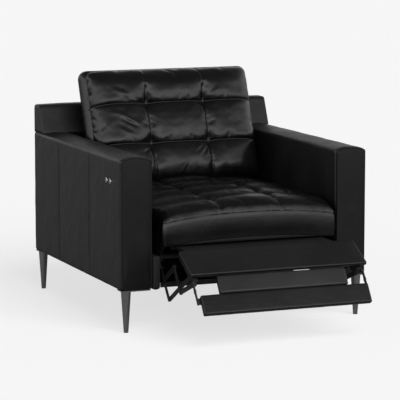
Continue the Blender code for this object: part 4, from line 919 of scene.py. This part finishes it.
back_shape = on_back(back_cover.x * belly, back_cover.y * belly, back_height)
held = held_share(back_cover, back_seams, back_tufts, 0.5)
back, back_points = stuff(
    "back_cushion_cover", back_cover, back_shape, held, BACK_CAP, SPARE_LEATHER, shaded_cushion_leather
)
back_lift = -0.0030 * back_cover.on_face * np.exp(-((back_seams / 0.0034) ** 2))
back_lift[back_cover.rim] -= 0.0020
for start, end, height, width in (
    ((-0.250, 0.270), (-0.172, 0.226), -0.0036, 0.0062),
    ((-0.268, 0.390), (-0.196, 0.356), 0.0020, 0.0100),
    ((-0.292, 0.298), (-0.216, 0.272), 0.0018, 0.0090),
    ((-0.270, 0.232), (-0.205, 0.196), 0.0016, 0.0090),
    ((0.112, 0.150), (0.066, 0.100), 0.0026, 0.0050),
    ((0.122, 0.148), (0.094, 0.088), 0.0026, 0.0050),
    ((0.098, 0.154), (0.048, 0.118), 0.0018, 0.0050),
    ((-0.134, 0.152), (-0.176, 0.126), 0.0022, 0.0050),
    ((-0.128, 0.148), (-0.150, 0.110), 0.0020, 0.0050),
    ((-0.140, 0.345), (-0.190, 0.372), 0.0014, 0.0070),
    ((0.140, 0.345), (0.200, 0.378), 0.0014, 0.0080),
):
    spot = (start[0], start[1] - BACK_HALF_LENGTH), (end[0], end[1] - BACK_HALF_LENGTH)
    back_lift = back_lift + back_cover.on_face * fold(back_cover, *spot, height, width)
back_lift = back_lift + 0.0012 * back_cover.on_face * ridge_noise(back_cover.x, back_cover.y, 51, 0.15)
back_points = press(back, back_points, back_lift)
finish_cushion(back, "back", "back_cushion")


# Seat band: a strip of the seat's leather under its front, sewn on along the low arched seam and flush
# with the cushion above, so the two read as one upright front.
band_low, band_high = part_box("seat_front_band")
BAND_HALF_WIDTH = SEAT_HALF_WIDTH - 0.0010
BAND_END_ROUND = 0.012
across = np.linspace(-1, 1, 120) * BAND_HALF_WIDTH
band_front_y = seat_low[1] + 0.0006
band_turn = np.linspace(0, 2 * pi, 48, endpoint=False)
circle = np.stack([np.cos(band_turn), np.sin(band_turn)], axis=1)
squircle = np.sign(circle) * np.abs(circle) ** 0.35
into_end = np.clip(1 - (BAND_HALF_WIDTH - np.abs(across)) / BAND_END_ROUND, 0, 1)
set_back = BAND_END_ROUND * (1 - np.sqrt(1 - into_end ** 2))
band_top = low_seam(across) + 0.0040
band_foot = band_low[2] + 0.0010
band_deep = band_high[1] - band_front_y - set_back
# Each station is a rounded oblong: its top follows the low seam, its front curves back at the ends
band_y = band_high[1] - band_deep[:, None] * (0.5 - 0.5 * squircle[None, :, 0])
band_z = band_foot + (band_top - band_foot)[:, None] * (0.5 + 0.5 * squircle[None, :, 1])
band_x = across[:, None] + 0.0 * band_y
points = np.stack([band_x, band_y, band_z], axis=-1).reshape(-1, 3)
band = mesh_object("seat_band_cover", points, ring_faces(len(across), len(band_turn)), shaded_cushion_leather)
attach(band, "carriage")
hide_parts("seat_front_band")


# Footrest boards: plywood with thin foam under leather. The main board has a bevelled front edge; the
# flap and the front board fold out below it on one pair of arms, and a bridge slides out behind it.
board_leather = leather("footrest_leather", 0.0050, 0.35, grain=0.00014, crease=0.0005)
# Painted light: the flap's leather is toned lighter than the boards', standing in for the brighter light
# on its forward-and-up face; its gloss settings are its own.
lit_flap_leather = leather("lit_flap_leather", 0.0090, 0.40, specular=0.5, grain=0.00014, crease=0.0004)


def board_place(origin, angle):
    """Turns (along, out, x) on a board into x, y and z, from its rear top edge and its angle."""

    def place(along, out, x):
        """Step forwards by the cosine and up by the sine of the angle, and square to that by out."""
        forward = origin[0] + along * cos(angle) - out * sin(angle)
        z = origin[1] + along * sin(angle) + out * cos(angle)
        return x, MIDDLE_Y - forward, z

    return place


def board(name, node, body, origin, angle, corners, radii, puff, looks):
    """An upholstered board: a rounded outline carried across the chair, its face swelling by a sine."""
    low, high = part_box(node)
    outline = even_outline(round_corners(corners, radii), 0.0036)
    span = min(corner[0] for corner in corners), max(corner[0] for corner in corners)

    def relief(along, out, x, normal):
        """A puff that is a sine of the place along the board and falls off near its ends."""
        level = np.clip(normal[None, :, 1], 0, 1) ** 2
        swell = np.sin(pi * np.clip((along - span[0]) / (span[1] - span[0]), 0, 1)) ** 0.6
        ends = np.clip((high[0] - np.abs(x)) / 0.03, 0, 1) ** 0.5
        return level * puff * swell * ends + 0.00035 * ridge_noise(x, along * 2, 41, 0.11)

    rounding = min(radii) * 0.9
    along = stations(low[0], high[0], 0.008, rounding)
    obj = swept(name, outline, along, board_place(origin, angle), looks, rounding, relief)
    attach(obj, body)
    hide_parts(node)


MAIN_REAR = (0.7070, 0.33395)
MAIN_ANGLE = radians(-28.0)
MAIN_CORNERS = [(0.1245, -0.0280), (0.1425, -0.0115), (0.1425, 0.0), (0.0, 0.0), (0.0, -0.0280)]
board("footrest_main_cover", "footrest_main_board", "footrest", MAIN_REAR, MAIN_ANGLE, MAIN_CORNERS,
      (0.0055, 0.0040, 0.0060, 0.0055, 0.0055), 0.0015, board_leather)
FLAP_PIN = (0.81678, 0.23368)
FLAP_ANGLE = radians(-57.5)
for name, node, span, looks in (
    ("footrest_flap_cover", "footrest_upper_flap", (-0.0080, 0.0600), lit_flap_leather),
    ("footrest_front_cover", "footrest_front_board", (0.0615, 0.1375), board_leather),
):
    corners = [(span[0], 0.0115), (span[1], 0.0115), (span[1], 0.0335), (span[0], 0.0335)]
    board(name, node, "flap", FLAP_PIN, FLAP_ANGLE, corners, (0.0055,) * 4, 0.0010, looks)
bridge_low, bridge_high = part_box("bridge_panel")
corners = [
    (bridge_low[1], bridge_low[2]),
    (bridge_high[1], bridge_low[2]),
    (bridge_high[1], bridge_high[2]),
    (bridge_low[1], bridge_high[2]),
]
outline = even_outline(round_corners(corners, [0.004] * 4), 0.004)
along = stations(bridge_low[0], bridge_high[0], 0.02, 0.0035)
bridge = swept("bridge_cover", outline, along, crosswise, board_leather, 0.0035)
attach(bridge, "bridge")
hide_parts("bridge_panel")


# Base rails and back panel: timber side rails inside the arms, cross rails between them, and the board
# behind the back cushion, all wrapped in black woven cloth that is pulled tight and stapled.
def woven(name, tone, scale):
    """Plain weave: two crossed sine bands, thread over thread, on Object coordinates."""
    look, tree, shader = surface(name, {"Roughness": 0.85, "Specular IOR Level": 0.2})
    weave = tree.nodes.new("ShaderNodeMath")
    weave.operation = "MAXIMUM"
    for slot, direction in enumerate(("Y", "Z")):
        wave = pattern(tree, "Wave", Scale=scale, Distortion=0.4)
        wave.bands_direction = direction
        tree.links.new(wave.outputs["Fac"], weave.inputs[slot])
    threads = toned(tree, weave.outputs[0], (tone * 0.5,) * 3, (tone * 1.3,) * 3)
    tree.links.new(threads, shader.inputs["Base Color"])
    tree.links.new(bumped(tree, weave.outputs[0], 0.0002, 0.5), shader.inputs["Normal"])
    return look


rail_cloth = woven("rail_cloth", 0.010, 260.0)
wrapped_boards = "side_rail_right", "side_rail_left", "cross_rail_middle", "cross_rail_rear", "back_panel"
for wrapped in wrapped_boards:
    nodes[wrapped].data.materials[0] = rail_cloth


# Metal and moulded parts: black powder-coated linkages and base tray, zinc-plated springs and rod, dark
# chromed legs, bright buttons, moulded black housings and nylon shoes. Each takes the finish of its slot.
def solid_finish(name, color, roughness, metallic, speck, bump, spread=0.12):
    """A hard finish with fine uneven gloss and a faint surface: noise on Object coordinates."""
    look, tree, shader = surface(name, {"Metallic": metallic})
    mottle = pattern(tree, "Noise", Scale=speck, Detail=4.0).outputs["Fac"]
    dark = [channel * (1 - spread) for channel in color]
    light = [min(1.0, channel * (1 + spread)) for channel in color]
    tree.links.new(toned(tree, mottle, dark, light), shader.inputs["Base Color"])
    gloss = ranged(tree, mottle, (0.0, 1.0), (max(0.02, roughness - 0.06), roughness + 0.06))
    tree.links.new(gloss, shader.inputs["Roughness"])
    if bump:
        tree.links.new(bumped(tree, mottle, bump, 0.4), shader.inputs["Normal"])
    return look


finishes = {
    "black_steel": solid_finish("powder_coat", (0.012, 0.012, 0.013), 0.42, 0.0, 900.0, 0.0001),
    "zinc_steel": solid_finish("bright_zinc", (0.50, 0.50, 0.49), 0.30, 1.0, 220.0, 0.00003),
    "leg_chrome": solid_finish("dark_chrome", (0.47, 0.475, 0.485), 0.16, 1.0, 60.0, 0.0),
    "button_chrome": solid_finish("button_chrome", (0.82, 0.82, 0.83), 0.10, 1.0, 80.0, 0.0),
    "black_plastic": solid_finish("moulded_black", (0.015, 0.015, 0.015), 0.50, 0.0, 1400.0, 0.0001),
    "nylon": solid_finish("natural_nylon", (0.70, 0.69, 0.64), 0.45, 0.0, 500.0, 0.00005),
}
for entry in frame["record"]["subparts"]:
    if entry["material_slot"] in finishes:
        nodes[entry["node"]].data.materials[0] = finishes[entry["material_slot"]]
